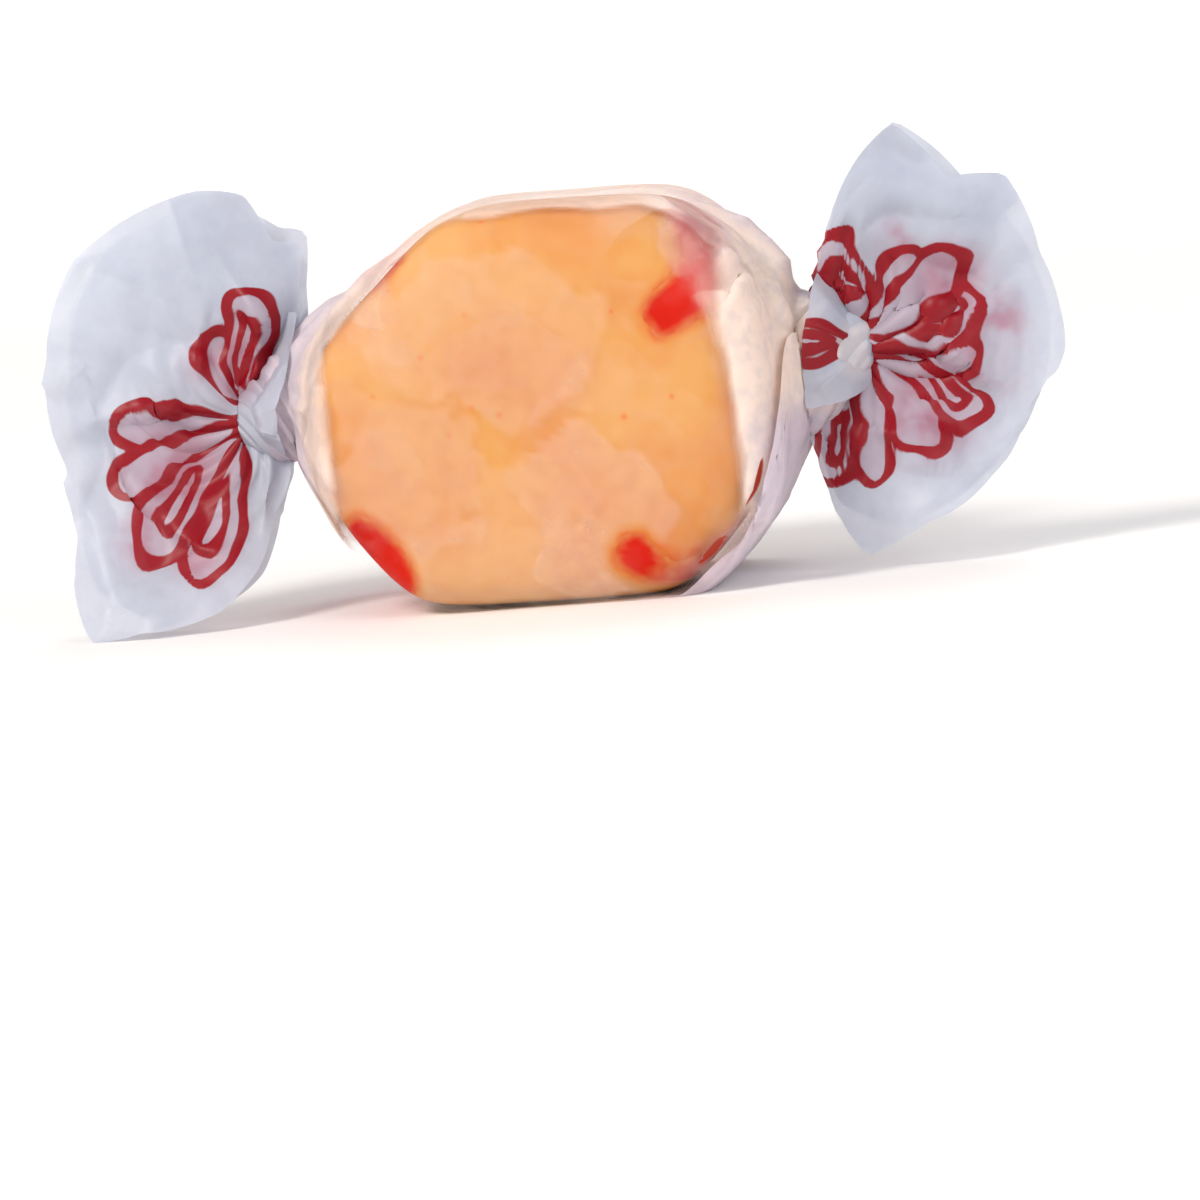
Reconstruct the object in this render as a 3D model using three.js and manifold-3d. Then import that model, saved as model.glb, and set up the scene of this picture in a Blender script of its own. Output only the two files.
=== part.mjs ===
// Salt water taffy: a short pulled-sugar drum with four coloured stripes, rolled in one sheet of
// wax paper whose two ends are twisted and fanned out flat.
//
// Millimetres. +X runs along the twists, +Z is up and -Y is the face that is looked at.
// The origin is on the floor, in the middle of the small flat that the taffy rests on.

import * as THREE from 'three';
import Module from 'manifold-3d';
import { mergeVertices } from 'three/addons/utils/BufferGeometryUtils.js';

const wasm = await Module();
wasm.setup();

const DEGREE = Math.PI / 180;

// ---- driving dimensions -------------------------------------------------------------------

const drum = {
  centreX: 0.25,
  centreZ: 9.9,
  halfDepth: 8.0, // along Y, so the drum is 16 mm from face to face
  edgeExponent: 8, // how tightly the face turns into the side
  facetExponent: 16, // how tightly one pressed flat turns into the next
  rings: 16,
  spokes: 48,
  // The flats pressed into the round: direction from +X in degrees, distance from the axis,
  // and how far the paper stands off there.
  facets: [
    [2, 10.2, 0.7],
    [43, 10.75, 0.7],
    [88, 9.15, 0],
    [132, 9.4, 0],
    [178, 10.6, 0],
    [219, 11.0, 0],
    [268, 9.55, 0],
    [316, 10.6, 1.2],
  ],
};

const stripe = {
  angles: { upper_right: 35, upper_left: 128, lower_left: 217, lower_right: 303 },
  inset: 0.9, // from the rim of the face to the middle of the stripe
  halfWidth: 1.75, // along the rim
  halfHeight: 2.1, // towards the axis
  clearance: 0.3, // between a stripe and the groove that it fills
  sides: 16,
};

const paper = {
  thickness: 0.24,
  gap: 0.48, // from the candy to the inside of the paper
  lapGap: 0.16, // between the two layers where the sheet laps over itself
  lap: 45, // degrees of the loop that are covered twice
  startAngle: 142.5, // loop angle of the outer edge of the sheet, on the lower rim of the front face
  climb: [5, 11, 12], // this edge climbs to the right: from x, to x, degrees
  columnStep: 7.5, // degrees of the loop from one column of the mesh to the next
  rows: 18,
};

// The paper leaves the candy as a cone that ends at the throat, is twisted tight from the
// throat to the knot, and opens behind the knot as a flattened fan of two layers. The rim of a
// fan is given as [degrees, millimetres] from the knot, 0 straight outwards and positive
// upwards: the front layer from its upper fold to its lower fold, then the back layer upwards.
const wings = {
  left: {
    side: -1,
    throat: { x: -12.3, z: 10.8, radius: 2.8 },
    knot: { x: -15.3, z: 9.75, radius: 1.25 },
    lead: -14, // degrees that the sheet has turned at the throat
    twist: -150, // and at the knot
    front: [[136, 4.2], [129, 5.0], [120, 6.9], [113.5, 9.5], [105, 9.2], [96, 11.3], [84, 11.7],
      [50, 11.7], [24, 10.1], [-10, 8.9], [-30, 9.6], [-45, 11.5], [-52, 12.2], [-64, 10.8],
      [-84, 9.1], [-96, 7.3], [-108, 4.8], [-118, 4.2], [-132, 3.5], [-146, 2.8]],
    back: [[-146, 2.8], [-132, 3.5], [-118, 4.2], [-108, 5.2], [-96, 7.3], [-66, 10.4], [-40, 10.6],
      [-8, 8.5], [26, 9.8], [60, 11.2], [88, 11.0], [105, 9.8], [113.5, 9.9], [120, 7.4], [136, 4.2]],
    lean: { upper: 1.2, lower: -6.5, outward: -1.0 }, // along Y at full reach over, under and past the knot
  },
  right: {
    side: 1,
    throat: { x: 12.9, z: 10.2, radius: 3.2 },
    knot: { x: 16.4, z: 10.95, radius: 1.25 },
    lead: -40,
    twist: -120,
    front: [[150, 3.6], [138, 3.7], [123, 3.8], [106, 5.6], [92, 8.4], [79, 11.0], [60, 9.1],
      [46.5, 10.7], [24, 9.5], [-6, 9.5], [-26, 8.5], [-50, 8.8], [-76, 9.0], [-95, 10.3],
      [-101, 9.1], [-109, 7.5], [-118, 6.2], [-130, 5.2], [-146, 4.2]],
    back: [[-146, 4.2], [-130, 5.2], [-118, 6.2], [-104, 8.2], [-84, 9.3], [-50, 8.5], [-10, 8.8],
      [30, 9.0], [55, 9.2], [79, 11.0], [92, 8.4], [106, 5.6], [123, 3.8], [138, 3.7], [150, 3.6]],
    lean: { upper: -1.0, lower: -1.5, outward: 1.5 },
  },
};

const fan = {
  fullReach: 11.5,
  halfGap: [[0, 0.6], [0.3, 0.85], [1, 1.5]], // [share of the full reach, half the way between the layers]
  startReach: 0.35, // hidden in the knot
  foldHeight: 1.1,
  folds: [[3, 0.5, 20], [5, 0.3, 140], [8, 0.2, 250]], // waves over the whole fan, share, phase
  columnStep: 13,
  rows: 8,
};

const neck = {
  // [share of the way from throat to knot, radius as a share of the way from knot to throat radius]
  profile: [[-0.12, 1.12], [0, 1.08], [0.3, 0.9], [0.55, 0.66], [0.8, 0.32], [1, 0], [1.2, -0.25]],
  fluteHeight: 0.16, // share of the radius
  flutes: [[7, 0.6, 20], [4, 0.4, 140]],
  spokes: 36,
};

const look = {
  candy: { color: 0xfdb873, roughness: 0.55 },
  stripe: { color: 0xf0581f, roughness: 0.5 },
  paper: { color: 0xd3d4e0, roughness: 0.45 },
};

// ---- small helpers ------------------------------------------------------------------------

const clamp01 = (t) => Math.min(1, Math.max(0, t));
const mix = (a, b, t) => a + (b - a) * t;
const smooth = (t) => clamp01(t) ** 2 * (3 - 2 * clamp01(t));

// Value at `at` of a line through [position, value] points, which run up or down.
function along(points, at) {
  const rising = points[points.length - 1][0] > points[0][0] ? 1 : -1;
  for (let i = 1; i < points.length; i++) {
    const [x0, y0] = points[i - 1];
    const [x1, y1] = points[i];
    if ((at - x1) * rising <= 0) return mix(y0, y1, clamp01((at - x0) / (x1 - x0)));
  }
  return points[points.length - 1][1];
}

function asSolid(geometry) {
  const bare = geometry.clone();
  for (const name of Object.keys(bare.attributes)) {
    if (name !== 'position') bare.deleteAttribute(name);
  }
  const merged = mergeVertices(bare, 1e-4);
  return new wasm.Manifold(new wasm.Mesh({
    numProp: 3,
    vertProperties: new Float32Array(merged.attributes.position.array),
    triVerts: new Uint32Array(merged.index.array),
  }));
}

function asGeometry(solid) {
  const made = solid.getMesh();
  const geometry = new THREE.BufferGeometry();
  geometry.setAttribute('position', new THREE.BufferAttribute(made.vertProperties, 3));
  geometry.setIndex(new THREE.BufferAttribute(made.triVerts, 1));
  geometry.computeVertexNormals();
  return geometry;
}

function asMesh(name, geometry, material) {
  const mesh = new THREE.Mesh(geometry, new THREE.MeshStandardMaterial({ ...material, metalness: 0 }));
  mesh.name = name;
  return mesh;
}

// ---- the candy ----------------------------------------------------------------------------

// Radius of a rounded polygon, at an angle from +X in the XZ plane, whose sides are
// [direction in degrees, distance from the axis].
function outlineRadius(sides, angle) {
  let sum = 0;
  for (const [direction, distance] of sides) {
    const facing = Math.cos(angle - direction * DEGREE);
    if (facing > 0) sum += (facing / distance) ** drum.facetExponent;
  }
  return sum ** (-1 / drum.facetExponent);
}

const candyOutline = (angle) => outlineRadius(drum.facets, angle);

function drumGeometry() {
  const positions = [];
  const faces = [];
  const bottom = 2 * paper.thickness + paper.lapGap + paper.gap - drum.centreZ; // pressed flat underneath
  const power = 2 / drum.edgeExponent;
  for (let i = 1; i < drum.rings; i++) {
    const turn = -Math.PI / 2 + (Math.PI * i) / drum.rings;
    const y = drum.halfDepth * Math.sign(Math.sin(turn)) * Math.abs(Math.sin(turn)) ** power;
    const share = Math.cos(turn) ** power;
    for (let j = 0; j < drum.spokes; j++) {
      const angle = (2 * Math.PI * j) / drum.spokes;
      const radius = share * candyOutline(angle);
      positions.push(radius * Math.cos(angle), y, Math.max(bottom, radius * Math.sin(angle)));
    }
  }
  const front = positions.length / 3;
  positions.push(0, -drum.halfDepth, 0, 0, drum.halfDepth, 0);
  const at = (ring, spoke) => ring * drum.spokes + (spoke % drum.spokes);
  for (let j = 0; j < drum.spokes; j++) {
    faces.push(front, at(0, j), at(0, j + 1));
    for (let i = 0; i < drum.rings - 2; i++) {
      faces.push(at(i, j), at(i + 1, j), at(i + 1, j + 1));
      faces.push(at(i, j), at(i + 1, j + 1), at(i, j + 1));
    }
    faces.push(front + 1, at(drum.rings - 2, j + 1), at(drum.rings - 2, j));
  }
  const geometry = new THREE.BufferGeometry();
  geometry.setAttribute('position', new THREE.Float32BufferAttribute(positions, 3));
  geometry.setIndex(faces);
  return geometry;
}

// A long oval bar along Y at the rim of the drum, wider than the stripe by `extra` all round.
function stripeBar(angle, extra) {
  const oval = new THREE.Shape();
  oval.absellipse(0, 0, stripe.halfHeight + extra, stripe.halfWidth + extra, 0, 2 * Math.PI, false, 0);
  const depth = 2 * (drum.halfDepth + 1);
  const bar = new THREE.ExtrudeGeometry(oval, { depth, bevelEnabled: false, curveSegments: stripe.sides });
  bar.translate(0, 0, -depth / 2);
  bar.rotateX(Math.PI / 2);
  bar.translate(candyOutline(angle) - stripe.inset, 0, 0);
  bar.rotateY(-angle);
  return bar;
}

function candyMeshes() {
  const whole = asSolid(drumGeometry());
  const meshes = [];
  let body = whole;
  for (const [name, degrees] of Object.entries(stripe.angles)) {
    const angle = degrees * DEGREE;
    body = body.subtract(asSolid(stripeBar(angle, stripe.clearance)));
    const piece = whole.intersect(asSolid(stripeBar(angle, 0)));
    meshes.push(asMesh(`stripe_${name}`, asGeometry(piece), look.stripe));
  }
  meshes.unshift(asMesh('candy', asGeometry(body), look.candy));
  for (const mesh of meshes) mesh.position.set(drum.centreX, 0, drum.centreZ);
  return meshes;
}

// ---- the wrapper's middle surface ------------------------------------------------------------
//
// The loop angle runs round the twist axis: 0 at the top, 90 at the front, 180 at the bottom.

// Height of the twist axis, which runs from knot to knot through the throats and the drum's middle.
function axisZ(x) {
  const { left, right } = wings;
  const line = [
    [left.knot.x, left.knot.z],
    [left.throat.x, left.throat.z],
    [drum.centreX - 3, drum.centreZ],
    [drum.centreX + 3, drum.centreZ],
    [right.throat.x, right.throat.z],
    [right.knot.x, right.knot.z],
  ];
  const near = [-0.6, -0.2, 0.2, 0.6];
  return near.reduce((sum, shift) => sum + along(line, x + shift), 0) / near.length;
}

const standOff = paper.gap + paper.thickness / 2;
const paperSides = drum.facets.map(([direction, distance, slack]) => (
  [direction, distance + standOff + slack]));

// Below 1 inside the paper that lies over the candy, 1 on it and above 1 outside.
function paperLevel(x, y, z) {
  const dx = x - drum.centreX;
  const dz = z - drum.centreZ;
  const share = Math.hypot(dx, dz) / outlineRadius(paperSides, Math.atan2(dz, dx));
  return share ** drum.edgeExponent + Math.abs(y / (drum.halfDepth + standOff)) ** drum.edgeExponent;
}

// Distance from the twist axis to that paper, or 0 past its ends.
function paperReach(x, loop) {
  const centre = axisZ(x);
  const level = (reach) => paperLevel(x, -reach * Math.sin(loop), centre + reach * Math.cos(loop));
  if (level(0) >= 1) return 0;
  let low = 0;
  let high = 20;
  for (let step = 0; step < 30; step++) {
    const middle = (low + high) / 2;
    if (level(middle) < 1) low = middle;
    else high = middle;
  }
  return low;
}

// The paper is pulled tight lengthways: between the throats it is the lowest line over the
// candy that never bends inwards. Returns that line's height at each of the positions.
function tightLine(positions, heights) {
  const kept = [];
  positions.forEach((x, i) => {
    while (kept.length > 1) {
      const [x0, y0] = kept[kept.length - 2];
      const [x1, y1] = kept[kept.length - 1];
      if ((x1 - x0) * (heights[i] - y0) < (y1 - y0) * (x - x0)) break;
      kept.pop();
    }
    kept.push([x, heights[i]]);
  });
  return positions.map((x) => along(kept, x));
}

const sleeveTable = (() => {
  const columns = 96;
  const steps = 80;
  const from = wings.left.throat.x;
  const to = wings.right.throat.x;
  const positions = Array.from({ length: steps + 1 }, (_, i) => mix(from, to, i / steps));
  const lines = Array.from({ length: columns }, (_, j) => {
    const loop = (2 * Math.PI * j) / columns;
    const heights = positions.map((x) => paperReach(x, loop));
    heights[0] = wings.left.throat.radius;
    heights[steps] = wings.right.throat.radius;
    return tightLine(positions, heights);
  });
  return { columns, steps, from, to, lines };
})();

function sleeveReach(x, loop) {
  const { columns, steps, from, to, lines } = sleeveTable;
  const column = ((((loop / (2 * Math.PI)) % 1) + 1) % 1) * columns;
  const row = clamp01((x - from) / (to - from)) * steps;
  const j = Math.floor(column);
  const i = Math.min(steps - 1, Math.floor(row));
  const read = (line) => mix(line[i], line[i + 1], row - i);
  return mix(read(lines[j % columns]), read(lines[(j + 1) % columns]), column - j);
}

// A sum of waves, each [count, share, phase in degrees], between -1 and 1.
function ripple(waves, turn) {
  return waves.reduce((sum, [count, share, phase]) => (
    sum + share * Math.cos(count * turn + phase * DEGREE)), 0);
}

// A point of the paper over the candy. Near the throats the sheet starts to turn, and its
// gathers stand out from the cone.
function sleevePoint(x, sheetAngle) {
  const wing = x < drum.centreX ? wings.left : wings.right;
  const shoulder = smooth(1 - Math.abs(x - wing.throat.x) / 3.6);
  const loop = sheetAngle + wing.lead * DEGREE * shoulder;
  const flute = 0.5 + 0.5 * ripple(neck.flutes, sheetAngle);
  const reach = sleeveReach(x, loop) * (1 + neck.fluteHeight * shoulder ** 2 * flute);
  return new THREE.Vector3(x, -reach * Math.sin(loop), axisZ(x) + reach * Math.cos(loop));
}

// A point of the middle surface of a fan. Both layers follow the same lean and the same folds,
// so they never meet.
function fanPoint(wing, column, share) {
  const { degrees, length, side } = column;
  const angle = degrees * DEGREE;
  const reach = mix(fan.startReach, length, share);
  const out = reach * Math.cos(angle);
  const up = reach * Math.sin(angle);
  const far = reach / fan.fullReach;
  const layer = -along(fan.halfGap, far) * Math.sign(side) * Math.abs(side) ** 0.4;
  const lean = (up > 0 ? wing.lean.upper : wing.lean.lower) * Math.abs(up / fan.fullReach) ** 1.5
    + wing.lean.outward * Math.max(0, out / fan.fullReach) ** 1.5;
  const fold = fan.foldHeight * Math.sin(Math.PI * clamp01(far)) * ripple(fan.folds, angle / 1.35);
  return new THREE.Vector3(wing.knot.x + wing.side * out, layer + lean + fold, wing.knot.z + up);
}

// The lines of a fan, from the knot to its rim: every listed point of the rim has one, and
// more are put between. `side` is 1 in the middle of the front layer, -1 of the back one.
function fanColumns(wing) {
  const columns = [];
  for (const [rim, sign] of [[wing.front, 1], [wing.back, -1]]) {
    const first = rim[0][0];
    const last = rim[rim.length - 1][0];
    for (let i = 1; i < rim.length; i++) {
      const [from, to] = [rim[i - 1], rim[i]];
      const pieces = Math.ceil(Math.abs(to[0] - from[0]) / fan.columnStep);
      for (let k = 0; k < pieces; k++) {
        const degrees = mix(from[0], to[0], k / pieces);
        const length = mix(from[1], to[1], k / pieces);
        const side = sign * Math.sin((Math.PI * (degrees - first)) / (last - first));
        columns.push({ degrees, length, side });
      }
    }
  }
  return columns;
}

// ---- the wrapper as solids --------------------------------------------------------------------

// A closed sheet round a grid of points on its middle surface. Its rows run along X, its
// columns round the loop; `ring` joins the last column to the first. `lift` moves a column
// outwards, and `floor` is the lowest that it lies.
function sheetGeometry(grid, ring, lift, floor) {
  const wide = grid[0].length;
  const high = grid.length;
  const column = (j) => (ring ? (j + wide) % wide : Math.min(Math.max(j, 0), wide - 1));
  const normalAt = (points, i, j) => {
    const up = points[Math.min(i + 1, high - 1)][j].clone().sub(points[Math.max(i - 1, 0)][j]);
    const round = points[i][column(j + 1)].clone().sub(points[i][column(j - 1)]);
    return round.cross(up).normalize();
  };
  const moved = (points, distance) => points.map((row, i) => row.map((point, j) => (
    point.clone().addScaledVector(normalAt(points, i, j), distance(j)))));
  const middle = moved(grid, lift);

  const positions = [];
  for (const half of [0.5, -0.5]) {
    const lowest = half > 0 ? 0 : paper.thickness;
    for (const row of moved(middle, () => half * paper.thickness)) {
      row.forEach((point, j) => positions.push(point.x, point.y, Math.max(point.z, lowest + floor(j))));
    }
  }

  const count = high * wide;
  const faces = [];
  const quad = (a, b, c, d) => faces.push(a, b, c, a, c, d);
  const steps = ring ? wide : wide - 1;
  for (let j = 0; j < steps; j++) {
    const next = column(j + 1);
    for (let i = 0; i < high - 1; i++) {
      const [a, b] = [i * wide + j, i * wide + next];
      quad(a, b, b + wide, a + wide);
      quad(count + a, count + a + wide, count + b + wide, count + b);
    }
    const end = (high - 1) * wide;
    quad(j, count + j, count + next, next);
    quad(end + j, end + next, count + end + next, count + end + j);
  }
  for (let i = 0; !ring && i < high - 1; i++) {
    const first = i * wide;
    const last = first + wide - 1;
    quad(first, first + wide, count + first + wide, count + first);
    quad(last, count + last, count + last + wide, last + wide);
  }
  const geometry = new THREE.BufferGeometry();
  geometry.setAttribute('position', new THREE.Float32BufferAttribute(positions, 3));
  geometry.setIndex(faces);
  return geometry;
}

function sleeveGeometry() {
  const total = 360 + paper.lap;
  const columns = total / paper.columnStep;
  const [climbFrom, climbTo, climbTurn] = paper.climb;
  const turned = Array.from({ length: columns + 1 }, (_, j) => j * paper.columnStep);
  const grid = [];
  for (let i = 0; i <= paper.rows; i++) {
    const even = (2 * i) / paper.rows - 1;
    const share = Math.sign(even) * Math.abs(even) ** 0.65; // closer rows at the shoulders
    const x = mix(wings.left.throat.x, wings.right.throat.x, 0.5 + 0.5 * share);
    const climb = climbTurn * smooth((x - climbFrom) / (climbTo - climbFrom));
    grid.push(turned.map((turn) => (
      sleevePoint(x, (paper.startAngle + turn - climb * (1 - turn / total)) * DEGREE))));
  }
  // The sheet winds inwards, so its first part lies over its last, also under the candy.
  const full = paper.thickness + paper.lapGap;
  const lift = (j) => full * clamp01((360 - turned[j]) / (360 - paper.lap));
  const floor = (j) => (turned[j] > 330 ? full : 0);
  return sheetGeometry(grid, false, lift, floor);
}

function fanGeometry(wing) {
  const columns = fanColumns(wing);
  const grid = [];
  for (let i = 0; i <= fan.rows; i++) {
    grid.push(columns.map((column) => fanPoint(wing, column, i / fan.rows)));
  }
  // Rows have to run the way of +X, so that the sheet's outside faces out.
  if (wing.side < 0) grid.reverse();
  return sheetGeometry(grid, true, () => 0, () => 0);
}

// The twisted paper between the throat and the knot, packed solid.
function neckGeometry(wing) {
  const { throat, knot } = wing;
  const positions = [];
  const faces = [];
  const stops = neck.profile.map(([share, thick]) => ({
    share,
    x: mix(throat.x, knot.x, share),
    radius: mix(knot.radius, throat.radius, thick),
  }));
  for (const { share, x, radius } of stops) {
    const turned = mix(wing.lead, wing.twist, clamp01(share)) * DEGREE;
    for (let j = 0; j < neck.spokes; j++) {
      const loop = (2 * Math.PI * j) / neck.spokes;
      const reach = radius * (1 + neck.fluteHeight * ripple(neck.flutes, loop - turned));
      positions.push(x, -reach * Math.sin(loop), axisZ(x) + reach * Math.cos(loop));
    }
  }
  const count = positions.length / 3;
  positions.push(stops[0].x, 0, axisZ(stops[0].x));
  const tip = stops[stops.length - 1].x + 0.3 * wing.side;
  positions.push(tip, 0, axisZ(tip));
  const last = stops.length - 1;
  const at = (ring, spoke) => ring * neck.spokes + (spoke % neck.spokes);
  for (let j = 0; j < neck.spokes; j++) {
    faces.push(count, at(0, j + 1), at(0, j));
    for (let i = 0; i < last; i++) {
      faces.push(at(i, j), at(i, j + 1), at(i + 1, j + 1));
      faces.push(at(i, j), at(i + 1, j + 1), at(i + 1, j));
    }
    faces.push(count + 1, at(last, j), at(last, j + 1));
  }
  if (wing.side < 0) faces.reverse();
  const geometry = new THREE.BufferGeometry();
  geometry.setAttribute('position', new THREE.Float32BufferAttribute(positions, 3));
  geometry.setIndex(faces);
  return geometry;
}

function wrapperGeometry() {
  const solids = [sleeveGeometry()];
  for (const wing of Object.values(wings)) solids.push(neckGeometry(wing), fanGeometry(wing));
  return asGeometry(wasm.Manifold.union(solids.map(asSolid)));
}

// ---- the taffy --------------------------------------------------------------------------------

const taffy = new THREE.Group();
taffy.add(...candyMeshes());
taffy.add(asMesh('wrapper', wrapperGeometry(), look.paper));

export default taffy;
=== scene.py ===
import math

import bpy
import numpy as np
from mathutils import Matrix, Vector, noise
from mathutils.bvhtree import BVHTree


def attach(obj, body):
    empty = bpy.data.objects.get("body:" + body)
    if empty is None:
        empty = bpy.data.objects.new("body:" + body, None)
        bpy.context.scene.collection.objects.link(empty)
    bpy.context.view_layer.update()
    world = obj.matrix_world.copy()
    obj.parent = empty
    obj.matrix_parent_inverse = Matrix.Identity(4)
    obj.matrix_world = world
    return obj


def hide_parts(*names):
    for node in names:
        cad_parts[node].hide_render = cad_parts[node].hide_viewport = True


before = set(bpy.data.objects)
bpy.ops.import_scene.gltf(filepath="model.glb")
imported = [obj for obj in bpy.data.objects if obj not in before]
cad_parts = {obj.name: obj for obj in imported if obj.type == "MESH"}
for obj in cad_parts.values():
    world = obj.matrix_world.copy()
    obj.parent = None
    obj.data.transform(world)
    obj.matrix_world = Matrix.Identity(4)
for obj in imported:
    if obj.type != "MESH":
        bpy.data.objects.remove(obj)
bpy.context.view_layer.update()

# Everything is worked out in millimetres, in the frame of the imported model, and turned to
# metres where a mesh is made. +X runs along the twists, -Y is the front and +Z is up.
metre = 0.001

scene = bpy.context.scene


def toLinear(hexColour):
    channels = [int(hexColour[i:i + 2], 16) / 255 for i in (1, 3, 5)]
    return [c / 12.92 if c <= 0.04045 else ((c + 0.055) / 1.055) ** 2.4 for c in channels] + [1]


def smoothStep(low, high, value):
    t = np.clip((value - low) / (high - low), 0, 1)
    return t * t * (3 - 2 * t)


def mixValues(a, b, t):
    return a + (b - a) * t


def makeMesh(name, points, faces):
    mesh = bpy.data.meshes.new(name)
    mesh.from_pydata([tuple(p) for p in np.asarray(points) * metre], [], [tuple(f) for f in faces])
    mesh.update()
    mesh.polygons.foreach_set("use_smooth", [True] * len(mesh.polygons))
    piece = bpy.data.objects.new(name, mesh)
    scene.collection.objects.link(piece)
    return piece


def setAttribute(piece, name, values):
    layer = piece.data.attributes.new(name, "FLOAT", "POINT")
    layer.data.foreach_set("value", np.asarray(values, dtype=np.float32).ravel())


# a value from -1 to 1 for each point of a list, with swells of that many millimetres
def noiseAt(points, size, seed):
    shift = Vector((seed * 17.3, seed * 5.9, seed * 11.1))
    return np.array([noise.noise(Vector(p) / size + shift) for p in points])


# crumpled paper: 0 along sharp wandering creases, rising to about 1 between them
def creasesAt(points, size, seed):
    return np.abs(noiseAt(points, size, seed)) * 1.6


# the four-sided faces of a tube of `slices` slices, whose rings of `sides` points follow one another
def tubeFaces(slices, sides):
    faces = []
    for i in range(slices):
        for j in range(sides):
            k = (j + 1) % sides
            faces.append((i * sides + j, (i + 1) * sides + j, (i + 1) * sides + k, i * sides + k))
    return faces


# The candy is a short round, pressed to flats all round its rim by the wrapping machine.
drum = {
    "centreX": 0.25,
    "centreZ": 9.9,
    "halfDepth": 8.0,
    "edgeExponent": 8,  # the higher, the sharper the edge between rim and face
    "facetExponent": 16,  # and the corners between the flats
    # direction of a pressed flat in degrees from +X, its distance, and how far the paper
    # stands off there
    "facets": [
        (2, 10.2, 0.7),
        (43, 10.75, 0.7),
        (88, 9.15, 0),
        (132, 9.4, 0),
        (178, 10.6, 0),
        (219, 11.0, 0),
        (268, 9.55, 0),
        (316, 10.6, 1.2),
    ],
    "swell": 0.42,  # the candy fills the clearance that the solids keep from the paper
    "slackShare": 0.6,  # and this much of the paper's slack
    "floor": 0.16,  # height of the candy's own flat
    "profileSteps": 110,
    "spokes": 260,
    "unevenness": [(9, 0.16), (3.5, 0.05)],  # size of the swells and their height
    "sunk": 0.7,  # of that height, so that the swells stay under the paper
}

# Each stripe is a bar through the candy: its direction in degrees, how far its two ends are from the
# middle, and its widths there, at the front face and behind it, where the pulling has smeared it.
stripes = {
    "stripeUpperRight": {
        "node": "stripe_upper_right",
        "face": (29.5, 7.0, 12.4, 2.9, 2.6),
        "behind": (42, 8.8, 13, 3.4, 4.0),
    },
    "stripeUpperLeft": {
        "node": "stripe_upper_left",
        "face": (132, 9.5, 13, 3.2, 3.6),
        "behind": (133, 9.2, 13, 3.6, 3.9),
    },
    "stripeLowerLeft": {
        "node": "stripe_lower_left",
        "face": (218.5, 9.35, 13, 4.8, 5.2),
        "behind": (221, 9.4, 13, 4.6, 5.0),
    },
    "stripeLowerRight": {
        "node": "stripe_lower_right",
        "face": (300.5, 7.8, 10.1, 2.1, 2.3),
        "behind": (322, 9.4, 13, 5.0, 5.6),
    },
}
stripeForm = {
    "sides": 72,
    "slices": 90,
    "past": 2,  # how far the bars reach past the candy's faces before they are cut
    "smearFrom": 0.4,  # millimetres behind the face
    "smearWithin": 1.6,
    "roundness": 0.75,  # of the section, 1 for an oval and less towards a rectangle
    "wander": 0.16,  # of its sides in millimetres, and of its width as a share
    "bleed": 0.35,  # how far the colours have run into each other
    "sharpAngle": 40,  # an edge between faces is shaded sharp from this angle on
}


def outlineRadius(sides, angle):
    total = np.zeros_like(np.asarray(angle, dtype=float))
    for direction, distance in sides:
        facing = np.maximum(np.cos(angle - math.radians(direction)), 0)
        total = total + (facing / distance) ** drum["facetExponent"]
    return total ** (-1 / drum["facetExponent"])


candySides = [(direction, distance + drum["swell"] + drum["slackShare"] * slack)
              for direction, distance, slack in drum["facets"]]
candyHalfDepth = drum["halfDepth"] + drum["swell"]


# (share of the radius, y) down the side of the drum, evenly spaced along the profile
def drumProfile(steps):
    samples, meanRadius = 4001, 10
    turn = np.linspace(-math.pi / 2, math.pi / 2, samples)
    power = 2 / drum["edgeExponent"]
    share = np.cos(turn).clip(0) ** power
    height = np.sign(np.sin(turn)) * np.abs(np.sin(turn)) ** power
    pieces = np.hypot(np.diff(share) * meanRadius, np.diff(height) * candyHalfDepth)
    run = np.concatenate([[0], np.cumsum(pieces)])
    at = np.linspace(0, run[-1], steps + 1)
    return np.interp(at, run, share), np.interp(at, run, height) * candyHalfDepth


def makeDrum():
    share, height = drumProfile(drum["profileSteps"])
    spokes = drum["spokes"]
    angle = np.arange(spokes) / spokes * 2 * math.pi
    radius = outlineRadius(candySides, angle)
    points = []
    for s, y in zip(share[1:-1], height[1:-1]):
        for a, r in zip(angle, radius):
            points.append((drum["centreX"] + s * r * math.cos(a), y, drum["centreZ"] + s * r * math.sin(a)))
    points.append((drum["centreX"], -candyHalfDepth, drum["centreZ"]))
    points.append((drum["centreX"], candyHalfDepth, drum["centreZ"]))
    points = np.array(points)
    centre = np.array([drum["centreX"], 0, drum["centreZ"]])
    for size, rise in drum["unevenness"]:
        out = points - centre
        out /= np.linalg.norm(out, axis=1)[:, None]
        points = points + out * (noiseAt(points, size, seed=size) - drum["sunk"])[:, None] * rise
    points[:, 2] = np.maximum(points[:, 2], drum["floor"])
    rings = drum["profileSteps"] - 1
    faces = []
    for j in range(spokes):
        k = (j + 1) % spokes
        faces.append((rings * spokes, j, k))
        for i in range(rings - 1):
            faces.append((i * spokes + j, (i + 1) * spokes + j, (i + 1) * spokes + k, i * spokes + k))
        faces.append((rings * spokes + 1, (rings - 1) * spokes + k, (rings - 1) * spokes + j))
    return makeMesh("taffyBody", points, faces)


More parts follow.
